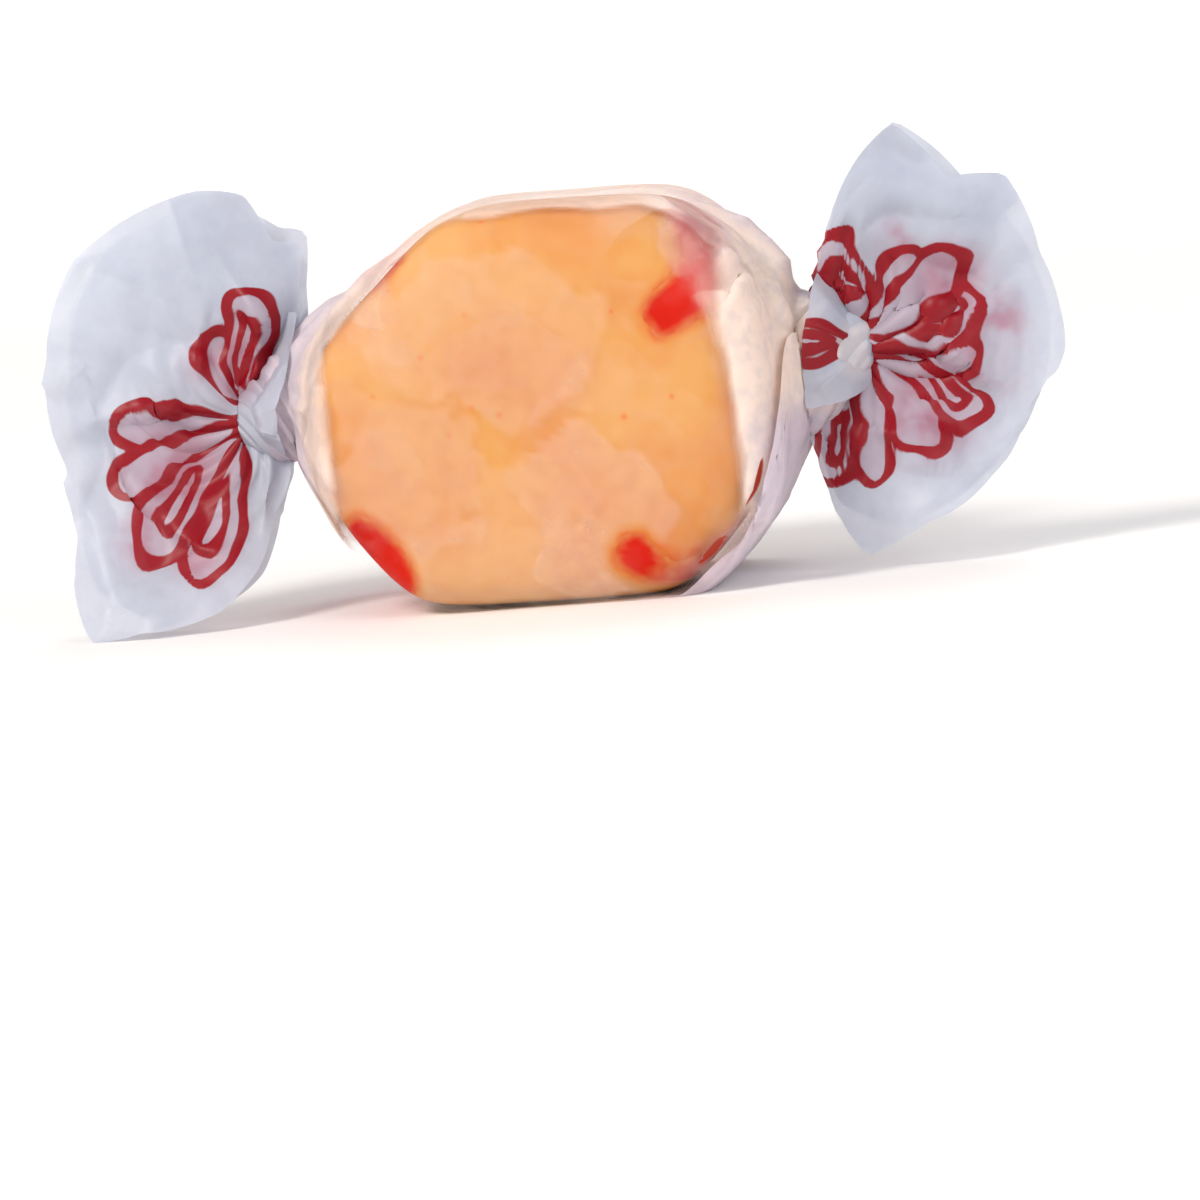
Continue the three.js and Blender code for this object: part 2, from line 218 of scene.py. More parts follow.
# a bar along Y with a rounded section, from inside the candy to beyond its rim
def makeBar(name, stripe):
    sides, slices = stripeForm["sides"], stripeForm["slices"]
    turn = np.arange(sides) / sides * 2 * math.pi
    along = np.sign(np.cos(turn)) * np.abs(np.cos(turn)) ** stripeForm["roundness"]
    across = np.sign(np.sin(turn)) * np.abs(np.sin(turn)) ** stripeForm["roundness"]
    wander = stripeForm["wander"]
    seed = stripe["face"][0]
    points = []
    for i in range(slices + 1):
        y = (2 * i / slices - 1) * (candyHalfDepth + stripeForm["past"])
        behind = math.tanh(max(0, y + candyHalfDepth - stripeForm["smearFrom"]) / stripeForm["smearWithin"])
        section = [mixValues(a, b, behind) for a, b in zip(stripe["face"], stripe["behind"])]
        direction, inner, outer, *widths = section
        angle = math.radians(direction)
        halfLength = (outer - inner) / 2
        middle = inner + halfLength
        width = mixValues(*widths, 0.5 + 0.5 * along)
        widen = 1 + wander * noise.noise(Vector((y / 5, seed, 9)))
        for u, v, w in zip(along, across, width):
            rough = wander * noise.noise(Vector((u * 2 + seed, y / 1.5, v * 2)))
            outward = middle + u * halfLength + rough
            sideways = v * w / 2 * widen + rough
            x = outward * math.cos(angle) - sideways * math.sin(angle)
            z = outward * math.sin(angle) + sideways * math.cos(angle)
            points.append((drum["centreX"] + x, y, drum["centreZ"] + z))
    ends = [tuple(range(sides)), tuple(slices * sides + j for j in reversed(range(sides)))]
    return makeMesh(name, points, tubeFaces(slices, sides) + ends)


def cutWith(piece, tool, operation):
    cut = piece.modifiers.new("cut", "BOOLEAN")
    cut.object = tool
    cut.operation = operation
    cut.solver = "EXACT"
    bpy.context.view_layer.objects.active = piece
    bpy.ops.object.modifier_apply(modifier=cut.name)


def copyOf(piece, name):
    twin = bpy.data.objects.new(name, piece.data.copy())
    scene.collection.objects.link(twin)
    return twin


def treeOf(piece):
    return BVHTree.FromObject(piece, bpy.context.evaluated_depsgraph_get())


# how near each point is to the border between candy and stripe, 1 on it and 0 beyond the bleed's reach
def bleedAt(piece, tools):
    trees = [treeOf(tool) for tool in tools]
    reach = stripeForm["bleed"] * metre
    values = []
    for vertex in piece.data.vertices:
        gaps = [tree.find_nearest(vertex.co, reach)[3] for tree in trees]
        gaps = [gap for gap in gaps if gap is not None]
        values.append(1 - min(gaps) / reach if gaps else 0)
    return values


body = makeDrum()
bars = {name: makeBar(name + "Tool", stripe) for name, stripe in stripes.items()}
whole = copyOf(body, "wholeDrum")
stripePieces = {}
for name, bar in bars.items():
    piece = copyOf(whole, name)
    cutWith(piece, bar, "INTERSECT")
    stripePieces[name] = piece
    cutWith(body, bar, "DIFFERENCE")
candyTree = treeOf(whole)
wetStripes = ("stripeLowerLeft", "stripeLowerRight", "stripeUpperRight")  # the paper clings to them
clingTrees = [treeOf(stripePieces[name]) for name in wetStripes]
for piece in [body] + list(stripePieces.values()):
    piece.data.set_sharp_from_angle(angle=math.radians(stripeForm["sharpAngle"]))
    setAttribute(piece, "bleed", bleedAt(piece, bars.values()))
for tool in list(bars.values()) + [whole]:
    bpy.data.objects.remove(tool)
print("candy and stripes made:", len(body.data.polygons), "faces in the body")


# One sheet of wax paper makes the sleeve, both twists and both fans.
paper = {
    "standOff": 0.55,  # from the solids' candy to the paper, half a sheet and the gap
    "lap": 45,  # degrees of the loop that are covered twice
    "startAngle": 142.5,  # loop angle of the outer edge, which lies on the rim of the face
    "slant": ((6, 9, 6), (11, 12.8, 34)),  # this edge climbs to the right: from x, to x, degrees
    "lapRise": 0.38,  # from the covered layer to the one over it
    "lapTight": (0, 6, 0.4),  # from x, to x: left of them it rises this share of that
    "columns": 330,
    "sleeveRows": 104,
    "neckRows": 18,
    "fanRows": 62,
    "flap": (60, 40),  # degrees from the outer edge: where the flap ends and where it is fully loose
    "flapLoose": 0.5,  # how much further it stands off than its mesh
    "seam": 350,  # degrees from the outer edge where the covered layer starts
    "cuffRows": 40,
    "cuffColumns": 110,
    "cuffFrom": 0.4,  # distance from the knot
    "cuffGap": 0.3,  # from the neck to the cuff
    "crumpleSize": 6.5,
    "fineSize": 2.6,
    # height of the large and of the fine crumples, and what they are set down by
    "crumples": {"wing": (1.0, 0.3, 0.3), "shoulder": (0.12, 0.06, 0), "close": (0.05, 0.03, 0)},
    "cuffCrumple": 0.1,
    "floor": 0.02,  # height of its lowest points
    "seenTo": 4.0,  # farther from the candy than this makes no difference
    # the paper clings to wet stripes: none and all of that by its distance from them, how much nearer it
    # then looks, and the part of the upper right rim where it doesn't
    "cling": (0.8, 0.3, 0.6),
    "clingFreeFar": (9.3, 9.7),
    "clingFreeHigh": (9, 11),
}
# painted light: at the upper right the lifted paper takes the warm tone of paper lit through from the candy,
# lighter than the lamps leave it there; none and all of that by x, z and y
paintedLight = {"x": (8.5, 9.5), "z": (7.5, 9.5), "y": (0, -2)}

# The paper leaves the candy as a cone down to the throat, is twisted tight up to the knot and
# opens behind it as a flattened fan of two layers. A rim is [degrees, millimetres] from the
# knot, 0 straight out and positive upwards, for the front layer downwards and the back upwards.
wings = {
    "left": {
        "side": -1,
        "throatX": -12.3,
        "throatZ": 10.8,
        "throatRadius": 2.8,
        "knotX": -15.3,
        "knotZ": 9.75,
        "knotRadius": 1.1,
        "lead": -14,
        "twist": -150,
        "front": [(136, 4.2), (129, 5.0), (120, 6.9), (113.5, 9.5), (105, 9.2), (96, 11.3), (84, 11.7),
                  (50, 11.7), (24, 10.1), (-10, 8.9), (-30, 9.6), (-45, 11.5), (-52, 12.2), (-64, 10.8),
                  (-84, 9.1), (-96, 7.3), (-108, 4.8), (-118, 4.2), (-132, 3.5), (-146, 2.8)],
        "back": [(-146, 2.8), (-132, 3.5), (-118, 4.2), (-108, 5.2), (-96, 7.3), (-66, 10.4), (-40, 10.6),
                 (-8, 8.5), (26, 9.8), (60, 11.2), (88, 11.0), (105, 9.8), (113.5, 9.9), (120, 7.4),
                 (136, 4.2)],
        "leanUpper": 1.2,
        "leanLower": -6.5,
        "leanOutward": -1.0,
        # A fold is a line of (out, up) from the knot, its height towards the front, and how
        # far it fades on its left and on its right.
        "folds": [
            (((7.4, 8.9), (5.3, 7.7), (2.1, 6.0)), 0.55, 1.6, 1.0),
            (((7.6, 0.6), (5.0, 1.1), (2.6, 1.2), (0.8, 0.5)), 0.75, 0.3, 2.2),
            (((6.8, 0.7), (6.5, -0.3), (5.8, -2.1), (4.9, -3.5), (3.3, -5.1), (0.9, -6.3)), 0.6, 0.2, 1.6),
            (((0.2, 0.7), (1.7, 3.9), (0.9, 6.6)), 0.45, 0.2, 1.0),
            (((-0.4, 0.5), (-1.5, 3.9), (-1.2, 6.6)), 0.4, 1.2, 0.25),
            (((2.0, 10.9), (-0.2, 7.7), (-1.6, 5.1), (-1.0, 1.8)), 0.5, 0.9, 0.3),
            (((9.0, -6.6), (6.4, -8.2), (3.2, -9.4)), 0.4, 1.0, 0.6),
            (((9.4, 2.6), (8.2, 3.2), (7.2, 1.8), (7.0, 0.4)), 0.4, 0.8, 0.4),
            (((-0.4, -0.4), (-1.3, -3.0), (-1.0, -5.6)), 0.4, 0.4, 1.0),
            (((8.9, -1.6), (7.4, -4.2), (6.0, -8.6)), 0.45, 0.4, 1.3),
            (((1.0, 2.0), (3.0, 5.5), (3.6, 10.5)), 0.3, 1.2, 1.2),
            (((2.2, 1.8), (5.4, 4.0), (9.0, 5.0)), 0.3, 1.0, 1.4),
        ],
        # A printed petal: its direction, where it starts and ends from the knot, and its half width.
        # One that comes later in the list hides those before.
        "petals": [
            (78, 1.0, 4.9, 0.8), (101, 1.2, 6.7, 1.15), (100, 2.6, 5.4, 0.4), (4, 1.4, 6.4, 1.0),
            (-74, 1.4, 7.9, 1.25), (-73, 3.4, 6.2, 0.4), (-22, 1.3, 7.0, 1.25), (-49, 1.4, 7.9, 1.35),
            (-48, 3.2, 6.2, 0.5),
        ],
        # where print on the far layer shows through: (out, up, radius)
        "ghosts": [(4.6, -5.0, 1.7), (2.4, -6.0, 1.4), (3.4, -2.2, 2.4), (0.2, 3.0, 1.9)],
        # The front layer also comes back over the neck as a cuff: its rim as above, how far it
        # stands off the neck at a direction, and its folds.
        "cuff": {
            "rim": [(118, 6.0), (124, 6.4), (131, 5.0), (139, 4.0), (150, 3.0), (162, 2.4), (190, 2.3),
                    (207, 2.7), (215, 2.9), (224, 3.4)],
            "stand": [(118, 0.1), (135, 0.8), (160, 1.0), (200, 1.0), (215, 0.7), (224, 0.1)],
            "folds": [(((-3.0, 2.9), (-1.8, 1.6), (-0.5, 0.3)), 0.5, 0.25, 1.0),
                      (((-2.3, -0.6), (-1.2, -0.3), (-0.4, 0.0)), 0.3, 0.8, 0.2)],
            "petals": [],
        },
    },
    "right": {
        "side": 1,
        "throatX": 12.9,
        "throatZ": 10.2,
        "throatRadius": 3.2,
        "knotX": 16.4,
        "knotZ": 10.95,
        "knotRadius": 1.1,
        "lead": -40,
        "twist": -120,
        "front": [(150, 3.6), (138, 3.7), (123, 3.8), (106, 5.6), (92, 8.4), (79, 11.0), (60, 9.1),
                  (46.5, 10.7), (24, 9.5), (-6, 9.5), (-26, 8.5), (-50, 8.8), (-76, 9.0), (-95, 10.3),
                  (-101, 9.1), (-109, 7.5), (-118, 6.2), (-130, 5.2), (-146, 4.2)],
        "back": [(-146, 4.2), (-130, 5.2), (-118, 6.2), (-104, 8.2), (-84, 9.3), (-50, 8.5), (-10, 8.8),
                 (30, 9.0), (55, 9.2), (79, 11.0), (92, 8.4), (106, 5.6), (123, 3.8), (138, 3.7),
                 (150, 3.6)],
        "leanUpper": -1.0,
        "leanLower": -1.5,
        "leanOutward": 1.5,
        "folds": [
            (((0.1, 0.1), (2.1, 1.3), (4.2, 2.1)), 0.8, 0.2, 1.2),
            (((-0.2, 0.4), (-0.6, 2.5), (0.1, 6.6)), 0.5, 0.3, 1.2),
            (((0.5, -0.2), (3.3, -0.1), (6.2, -2.8)), 0.5, 1.0, 0.3),
            (((-0.4, -1.0), (-0.2, -4.1), (1.6, -4.4), (4.1, -5.0)), 0.55, 0.25, 1.2),
            (((-0.4, -2.0), (-0.5, -4.6), (-0.9, -8.4)), 0.5, 0.3, 1.0),
            (((0.1, -3.6), (1.4, -5.8), (3.9, -6.6)), 0.45, 1.0, 0.25),
            (((4.5, 7.1), (5.2, 4.0), (6.5, 1.9)), 0.35, 0.8, 1.2),
            (((9.3, 0.6), (8.6, -2.8), (5.9, -5.9), (2.0, -8.2)), 0.35, 0.5, 1.2),
            (((1.0, 1.6), (2.4, 4.4), (2.9, 7.9)), 0.4, 0.4, 1.4),
            (((2.2, 0.4), (5.0, 0.8), (8.0, 2.6)), 0.35, 0.3, 1.2),
            (((-2.2, 2.4), (-1.2, 4.4), (-0.6, 7.0)), 0.4, 1.0, 0.3),
        ],
        "petals": [
            (126, 1.2, 4.4, 0.6), (104, 1.4, 5.9, 1.0), (105, 2.8, 4.6, 0.4), (63, 1.0, 5.2, 0.9),
            (-10, 1.0, 5.4, 0.95), (17, 1.0, 6.0, 1.15), (18, 2.6, 4.9, 0.4), (41, 1.0, 6.5, 1.2),
            (-64, 1.4, 6.2, 1.0), (-38, 1.2, 6.8, 1.15), (-37, 3.0, 5.6, 0.4), (-92, 2.0, 6.6, 0.95),
            (-112, 2.4, 7.0, 1.05), (-111, 3.8, 5.9, 0.35),
        ],
        "ghosts": [(6.2, 0.6, 1.5), (5.6, -1.2, 1.8), (2.9, -3.6, 2.2), (1.5, 4.8, 1.2), (4.4, 2.8, 1.8)],
        "cuff": {
            "rim": [(108, 4.6), (112, 4.8), (127, 4.0), (140, 3.4), (153, 3.2), (172, 3.1), (192, 3.2),
                    (207, 3.5), (220, 4.1), (231, 3.3), (243, 2.8), (262, 2.1), (270, 1.6)],
            "stand": [(108, 0.1), (125, 0.7), (150, 1.0), (225, 1.0), (255, 0.9), (270, 0.75)],
            "folds": [(((-2.6, 1.6), (-1.4, 0.9), (-0.3, 0.2)), 0.35, 0.8, 0.25),
                      (((-2.7, -1.9), (-1.6, -1.2), (-0.4, -0.4)), 0.35, 0.25, 0.9),
                      (((-1.5, 3.6), (-0.9, 1.8), (-0.2, 0.4)), 0.3, 0.25, 0.8)],
            "petals": [(168, 1.0, 3.9, 0.85), (168, 1.9, 3.3, 0.3)],
        },
    },
}

fan = {
    "fullReach": 11.5,
    "halfGap": ((0, 0.45), (0.3, 0.75), (1, 1.4)),  # between the layers, by share of the full reach
    "gapEnds": 0.4,  # exponent: the lower, the blunter the layers meet at the sides
    "leanPower": 1.5,  # how late the lean sets in
    "swell": 0.9,
    "waves": ((3, 0.5, 20), (5, 0.3, 140), (8, 0.2, 250)),  # how many round the fan, share, phase
    "waveStretch": 1.35,
    "pleats": ((17, 0.6, 40), (26, 0.4, 200)),
    "pleatSweep": 0.15,  # radians that they turn for each millimetre outwards
    "pleatHeight": 0.2,
    "pleatReach": 3.2,
    "blendIn": 0.2,  # share of the fan over which it opens out of the knot
}

# The paper is drawn into the twists in flat facets between straight ridges.
neck = {
    "ridges": 25,
    "uneven": 0.4,  # of their spacing
    "fluteHeight": 0.15,  # of the radius
    "taper": 1.6,  # exponent: the higher, the later it narrows
    "core": ((1.0, 0.96), (0.96, 0.75), (0.9, 0.52), (0.82, 0.3), (0.74, 0.12), (0.7, 0.01)),
    "shoulderLength": 3.6,  # of the sleeve beside the throat
    "facetsFrom": 8.0,  # distance from the middle, along X, where the facets start
    "facetsFull": 10.2,
}

sheetTurn = 360 + paper["lap"]
paperSides = [(direction, distance + paper["standOff"] + slack)
              for direction, distance, slack in drum["facets"]]
paperHalfDepth = drum["halfDepth"] + paper["standOff"]


def rippleOf(waves, turn):
    return sum(share * np.cos(count * turn + math.radians(phase)) for count, share, phase in waves)


# the same with sharp valleys, like pleats in paper
def sharpRipple(waves, turn):
    return sum(share * (2 * np.abs(np.sin((count * turn + math.radians(phase)) / 2)) - 1)
               for count, share, phase in waves)


# Ridges round a twist: the angles of the sheet where they are, in radians, and how far each stands out.
def makeRidges(seed):
    count = neck["ridges"]
    draw = np.random.default_rng(seed)
    at = (np.arange(count) + neck["uneven"] * (draw.random(count) - 0.5)) / count * 2 * math.pi
    rise = np.where(np.arange(count) % 2, 0.25, 0.75) + 0.5 * (draw.random(count) - 0.5)
    return np.concatenate([at, at[:1] + 2 * math.pi]), np.concatenate([rise, rise[:1]])


# for angles of the sheet: the ridge before, the ridge after and the share of the way between them
def ridgesAround(ridges, sheet):
    at = ridges[0]
    turned = (sheet - at[0]) % (2 * math.pi) + at[0]
    after = np.clip(np.searchsorted(at, turned, side="right"), 1, len(at) - 1)
    return after - 1, after, (turned - at[after - 1]) / (at[after] - at[after - 1])


for seed, wing in enumerate(wings.values(), 4):
    wing["ridges"] = makeRidges(seed)


# height of the line round which the paper is rolled: straight pieces with their bends eased
def axisZ(x):
    left, right = wings["left"], wings["right"]
    levelHalf = 3
    xs = [left["knotX"], left["throatX"], drum["centreX"] - levelHalf,
          drum["centreX"] + levelHalf, right["throatX"], right["knotX"]]
    zs = [left["knotZ"], left["throatZ"], drum["centreZ"],
          drum["centreZ"], right["throatZ"], right["knotZ"]]
    eased = (-0.6, -0.2, 0.2, 0.6)
    return sum(np.interp(x + shift, xs, zs) for shift in eased) / len(eased)


# below 1 inside the paper where it lies close on the candy, and above 1 outside it
def paperLevel(x, y, z):
    dx = x - drum["centreX"]
    dz = z - drum["centreZ"]
    share = np.hypot(dx, dz) / outlineRadius(paperSides, np.arctan2(dz, dx))
    power = drum["edgeExponent"]
    return share ** power + np.abs(y / paperHalfDepth) ** power


# distance from the twist axis to paper that lies close on the candy, for grids of x and loop
def closeReach(x, loop):
    farthest, halvings = 20, 26
    low = np.zeros(np.broadcast(x, loop).shape)
    high = low + farthest
    for step in range(halvings):
        middle = (low + high) / 2
        inside = paperLevel(x, -middle * np.sin(loop), axisZ(x) + middle * np.cos(loop)) < 1
        low = np.where(inside, middle, low)
        high = np.where(inside, high, middle)
    return low


# The lowest line over the heights that never bends inwards: paper that is pulled tight.
def tightLine(positions, heights):
    kept = []
    for x, h in zip(positions, heights):
        while len(kept) > 1:
            (x0, y0), (x1, y1) = kept[-2:]
            if (x1 - x0) * (h - y0) < (y1 - y0) * (x - x0):
                break
            kept.pop()
        kept.append((x, h))
    return np.interp(positions, [p[0] for p in kept], [p[1] for p in kept])


def makeSleeveTable():
    steps, columns = 160, 360
    positions = np.linspace(wings["left"]["throatX"], wings["right"]["throatX"], steps + 1)
    loops = np.arange(columns) / columns * 2 * math.pi
    heights = closeReach(positions[None, :], loops[:, None])
    heights[:, 0] = wings["left"]["throatRadius"]
    heights[:, -1] = wings["right"]["throatRadius"]
    return positions, np.array([tightLine(positions, row) for row in heights])


sleevePositions, sleeveHeights = makeSleeveTable()


# distance from the twist axis to the sleeve, read from the table
def sleeveReach(x, loop):
    columns = len(sleeveHeights)
    column = (loop / (2 * math.pi)) % 1 * columns
    low = np.floor(column).astype(int)
    share = column - low
    span = sleevePositions[-1] - sleevePositions[0]
    row = np.clip((x - sleevePositions[0]) / span, 0, 1) * (len(sleevePositions) - 1)
    top = np.minimum(np.floor(row).astype(int), len(sleevePositions) - 2)
    rest = row - top

    def read(j):
        line = sleeveHeights[j % columns]
        return mixValues(line[np.arange(len(line)), top], line[np.arange(len(line)), top + 1], rest)

    return mixValues(read(low), read(low + 1), share)


# The folds that stand up on the sleeve: (x from, x to, loop from, loop to, height, half width).
# Each is a straight line over the sheet from one end to the other.
sleeveFolds = [
    (-7.0, 9.0, 40, 34, 0.75, 1.9),
    (-6.0, -9.6, 36, 56, 0.5, 1.2),
    (-9.9, -9.6, 62, 118, 0.5, 0.6),
    (8.9, 12.8, 34, 62, 0.8, 0.9),
    (8.0, 12.8, 128, 98, 0.8, 0.8),
    (9.2, 12.9, 84, 80, 0.6, 0.7),
    (9.3, 12.8, 60, 72, 0.6, 0.6),
    (8.9, 12.9, 104, 88, 0.7, 0.6),
    (5.0, 12.8, 150, 112, 0.7, 0.8),
    (-8.6, -12.1, 28, 58, 0.5, 0.8),
    (-8.8, -12.1, 146, 112, 0.5, 0.8),
    (-9.4, -12.2, 92, 88, 0.4, 0.6),
    (4.0, 9.5, 356, 8, 0.45, 1.2),
    (8.6, 12.4, 18, 44, 0.6, 0.8),
    (-8.8, -12.0, 8, 36, 0.5, 0.8),
    (8.6, 12.6, 0, 18, 1.2, 1.9),
    (7.0, 12.6, 146, 104, 0.4, 0.45),
    (9.0, 12.6, 134, 92, 0.45, 0.4),
    (9.6, 12.6, 112, 84, 0.4, 0.4),
]


# On the face: where the paper stands off to the right of a line, given as (z, x), with the height it
# reaches and over what distance.
panel = {
    "edge": ((3.6, 10.4), (4.7, 10.1), (6.2, 10.3), (9.8, 10.0),
             (13.4, 9.3), (15.5, 8.5), (16.8, 9.3), (18.7, 8.9)),
    "height": 0.3,
    "within": 0.5,
    "wander": (1.6, 0.35),  # size and distance
    "clings": 0.45,  # how much clearer it is than its height gives
    "clingsTo": (10.3, 9.5),  # none and all of that, by x
}

# Milky patches of the face, where wax and sugar have let go of each other: x, z, half width, half
# height and how milky. The low ones are set milkier in part as painted light, which lightens the lower
# face where the floor shades it.
milkyPatches = [
    (-1.9, 13.3, 5.9, 4.0, 0.14),
    (-6.2, 6.8, 3.9, 3.1, 0.13),
    (-2.6, 2.4, 7.8, 2.0, 0.18),
    (2.0, 5.2, 5.2, 3.2, 0.14),
    (-7.4, 12.0, 2.4, 4.0, 0.08),
    (3.6, 10.4, 2.4, 1.5, 0.06),
    # a small milky bubble at the upper left, brightened as a painted highlight
    (-7.4, 16.4, 1.2, 1.8, 0.2),
    (8.7, 17.2, 1.4, 1.7, 0.28),
    (0.0, 0.8, 9.0, 0.9, 0.24),
]
haze = {
    "face": 0.03,
    "faceFrom": (7, 8),  # millimetres in front of the middle and behind it
    "panel": 0.34,
    "shoulder": 0.6,
    "shoulderFrom": (9.6, 10.3),  # along X from the middle
    "wander": ((3.2, 1.5), (1.1, 0.5)),  # size and distance
    "edge": 0.2,
    "rim": (7.6, 0.5, 2.5),  # where the face's rim is, how far that wanders and in what size
    # behind the rim of the face, by direction in degrees from +X
    "side": ((0, 0.5), (45, 0.5), (90, 0.48), (130, 0.5), (160, 0.45), (180, 0.3), (200, 0.1), (225, 0.02),
             (270, 0.15), (315, 0.3), (360, 0.5)),
}

# Pink blots of the stripes' dye in the paper at the front: x, z, radius and strength.
blots = [(8.5, 17.1, 1.5, 1.0), (-6.8, 17.2, 1.2, 0.5)]


# 1 on the panel, 0 to the left of its edge
def panelShare(points):
    edge = np.array(panel["edge"])
    size, far = panel["wander"]
    edgeX = np.interp(points[:, 2], edge[:, 0], edge[:, 1])
    past = points[:, 0] + far * noiseAt(points, size, seed=12) - edgeX
    onFront = smoothStep(-5, -7, points[:, 1])
    return np.clip(past / panel["within"], 0, 1) * onFront


# how milky the paper over the candy is, besides what its distance from the candy gives
def hazeAt(points):
    x = points[:, 0] + sum(far * noiseAt(points, size, seed=21) for size, far in haze["wander"])
    z = points[:, 2] + sum(far * noiseAt(points, size, seed=22) for size, far in haze["wander"])
    total = np.full(len(points), haze["face"])
    for middleX, middleZ, wide, high, amount in milkyPatches:
        level = np.hypot((x - middleX) / wide, (z - middleZ) / high)
        inward = (1 - level) * min(wide, high)
        total = np.maximum(total, haze["face"] + amount * smoothStep(-haze["edge"], haze["edge"], inward))
    depth = np.abs(points[:, 1])
    total = total * smoothStep(*haze["faceFrom"], depth)
    amounts = np.array(haze["side"])
    direction = np.degrees(np.arctan2(points[:, 2] - drum["centreZ"], points[:, 0] - drum["centreX"])) % 360
    middle, far, size = haze["rim"]
    rim = middle + far * noiseAt(points, size, seed=23)
    side = np.interp(direction, amounts[:, 0], amounts[:, 1]) * smoothStep(rim, rim - 0.5, depth)
    shoulder = haze["shoulder"] * smoothStep(*haze["shoulderFrom"], np.abs(points[:, 0] - drum["centreX"]))
    return np.maximum.reduce([total, side, shoulder, haze["panel"] * panelShare(points)])


# how far the folds lift the paper, fading in over a third of their length and out over a fifth
def foldHeights(points):
    fadeIn, fadeOut = 3, 5
    total = np.zeros(len(points))
    for x0, x1, loop0, loop1, height, halfWidth in sleeveFolds:
        ends = []
        for x, loop in ((x0, loop0), (x1, loop1)):
            turn = math.radians(loop % 360)
            reach = sleeveReach(np.array([x]), np.array([turn]))[0]
            ends.append((x, -reach * math.sin(turn), float(axisZ(np.array(x))) + reach * math.cos(turn)))
        start, end = np.array(ends)
        line = end - start
        t = ((points - start) @ line) / (line @ line)
        near = start + np.clip(t, 0, 1)[:, None] * line
        away = np.linalg.norm(points - near, axis=1)
        fade = np.clip(np.minimum(t * fadeIn, (1 - t) * fadeOut), 0, 1)
        total = total + height * fade * np.clip(1 - away / halfWidth, 0, 1)
    return total


# how far a fan's layer reaches in a direction, with the corners of its rim a little rounded
def rimOf(wing, degrees, layer):
    corners = np.array(sorted(wing[layer]))
    rounded = (-0.8, 0, 0.8)
    return np.mean([np.interp(degrees + turn, corners[:, 0], corners[:, 1]) for turn in rounded], axis=0)


# 1 along a line of (out, up) points, fading off over its own distance on either side and at its ends
def foldProfile(out, up, line, left, right):
    best = np.full(out.shape, 1e9)
    profile = np.zeros(out.shape)
    lengths = [math.dist(a, b) for a, b in zip(line, line[1:])]
    before = 0
    for (x0, z0), (x1, z1), length in zip(line, line[1:], lengths):
        dx, dz = (x1 - x0) / length, (z1 - z0) / length
        t = np.clip((out - x0) * dx + (up - z0) * dz, 0, length)
        away = np.hypot(out - x0 - t * dx, up - z0 - t * dz)
        side = np.clip((dx * (up - z0) - dz * (out - x0)) / (away + 1e-6), -1, 1)
        run = (before + t) / sum(lengths)
        ends = np.clip(5 * np.minimum(run, 1 - run) + 0.25, 0, 1)  # a quarter at the very ends
        value = ends * np.exp(-away / mixValues(right, left, 0.5 + 0.5 * side))
        profile = np.where(away < best, value, profile)
        best = np.minimum(best, away)
        before += length
    return profile


# One row of a fan. sheet: angles of the sheet in radians. rowShare: 0 at the knot, 1 at the rim.
def fanRow(wing, sheet, rowShare):
    upper, lower = wing["front"][0][0], wing["front"][-1][0]
    loop = np.degrees(sheet + math.radians(wing["twist"])) % 360
    front = loop <= 180
    share = np.where(front, loop / 180, (360 - loop) / 180)
    degrees = mixValues(upper, lower, share)
    length = np.where(front, rimOf(wing, degrees, "front"), rimOf(wing, degrees, "back"))
    angle = np.radians(degrees)
    side = np.sin(np.radians(loop))
    reach = mixValues(wing["knotRadius"], length, rowShare)
    far = reach / fan["fullReach"]
    out = reach * np.cos(angle)
    up = reach * np.sin(angle)
    gaps = np.array(fan["halfGap"])
    layer = -np.interp(far, gaps[:, 0], gaps[:, 1]) * np.sign(side) * np.abs(side) ** fan["gapEnds"]
    tilt = np.where(up > 0, wing["leanUpper"], wing["leanLower"])
    lean = tilt * np.abs(up / fan["fullReach"]) ** fan["leanPower"]
    lean = lean + wing["leanOutward"] * np.maximum(0, out / fan["fullReach"]) ** fan["leanPower"]
    swell = fan["swell"] * np.sin(math.pi * np.clip(far, 0, 1))
    fold = swell * rippleOf(fan["waves"], angle / fan["waveStretch"])
    for line, height, left, right in wing["folds"]:
        fold = fold - height * foldProfile(out, up, line, left, right)
    pleat = fan["pleatHeight"] * reach ** 0.5 * np.exp(-((reach - 1) / fan["pleatReach"]) ** 2)
    fold = fold + pleat * sharpRipple(fan["pleats"], sheet + fan["pleatSweep"] * reach)
    points = np.stack([wing["knotX"] + wing["side"] * out, layer + lean + fold, wing["knotZ"] + up], 1)
    return points, degrees, reach


def neckRow(wing, sheet, share):
    x = mixValues(wing["throatX"], wing["knotX"], share)
    turned = math.radians(mixValues(wing["lead"], wing["twist"], share))
    radius = mixValues(wing["throatRadius"], wing["knotRadius"], share ** neck["taper"])
    before, after, part = ridgesAround(wing["ridges"], sheet)
    rise = wing["ridges"][1]
    reach = radius * (1 + neck["fluteHeight"] * mixValues(rise[before], rise[after], part))
    loop = sheet + turned
    z = float(axisZ(np.array(x)))
    return np.stack([np.full_like(sheet, x), -reach * np.sin(loop), z + reach * np.cos(loop)], 1)


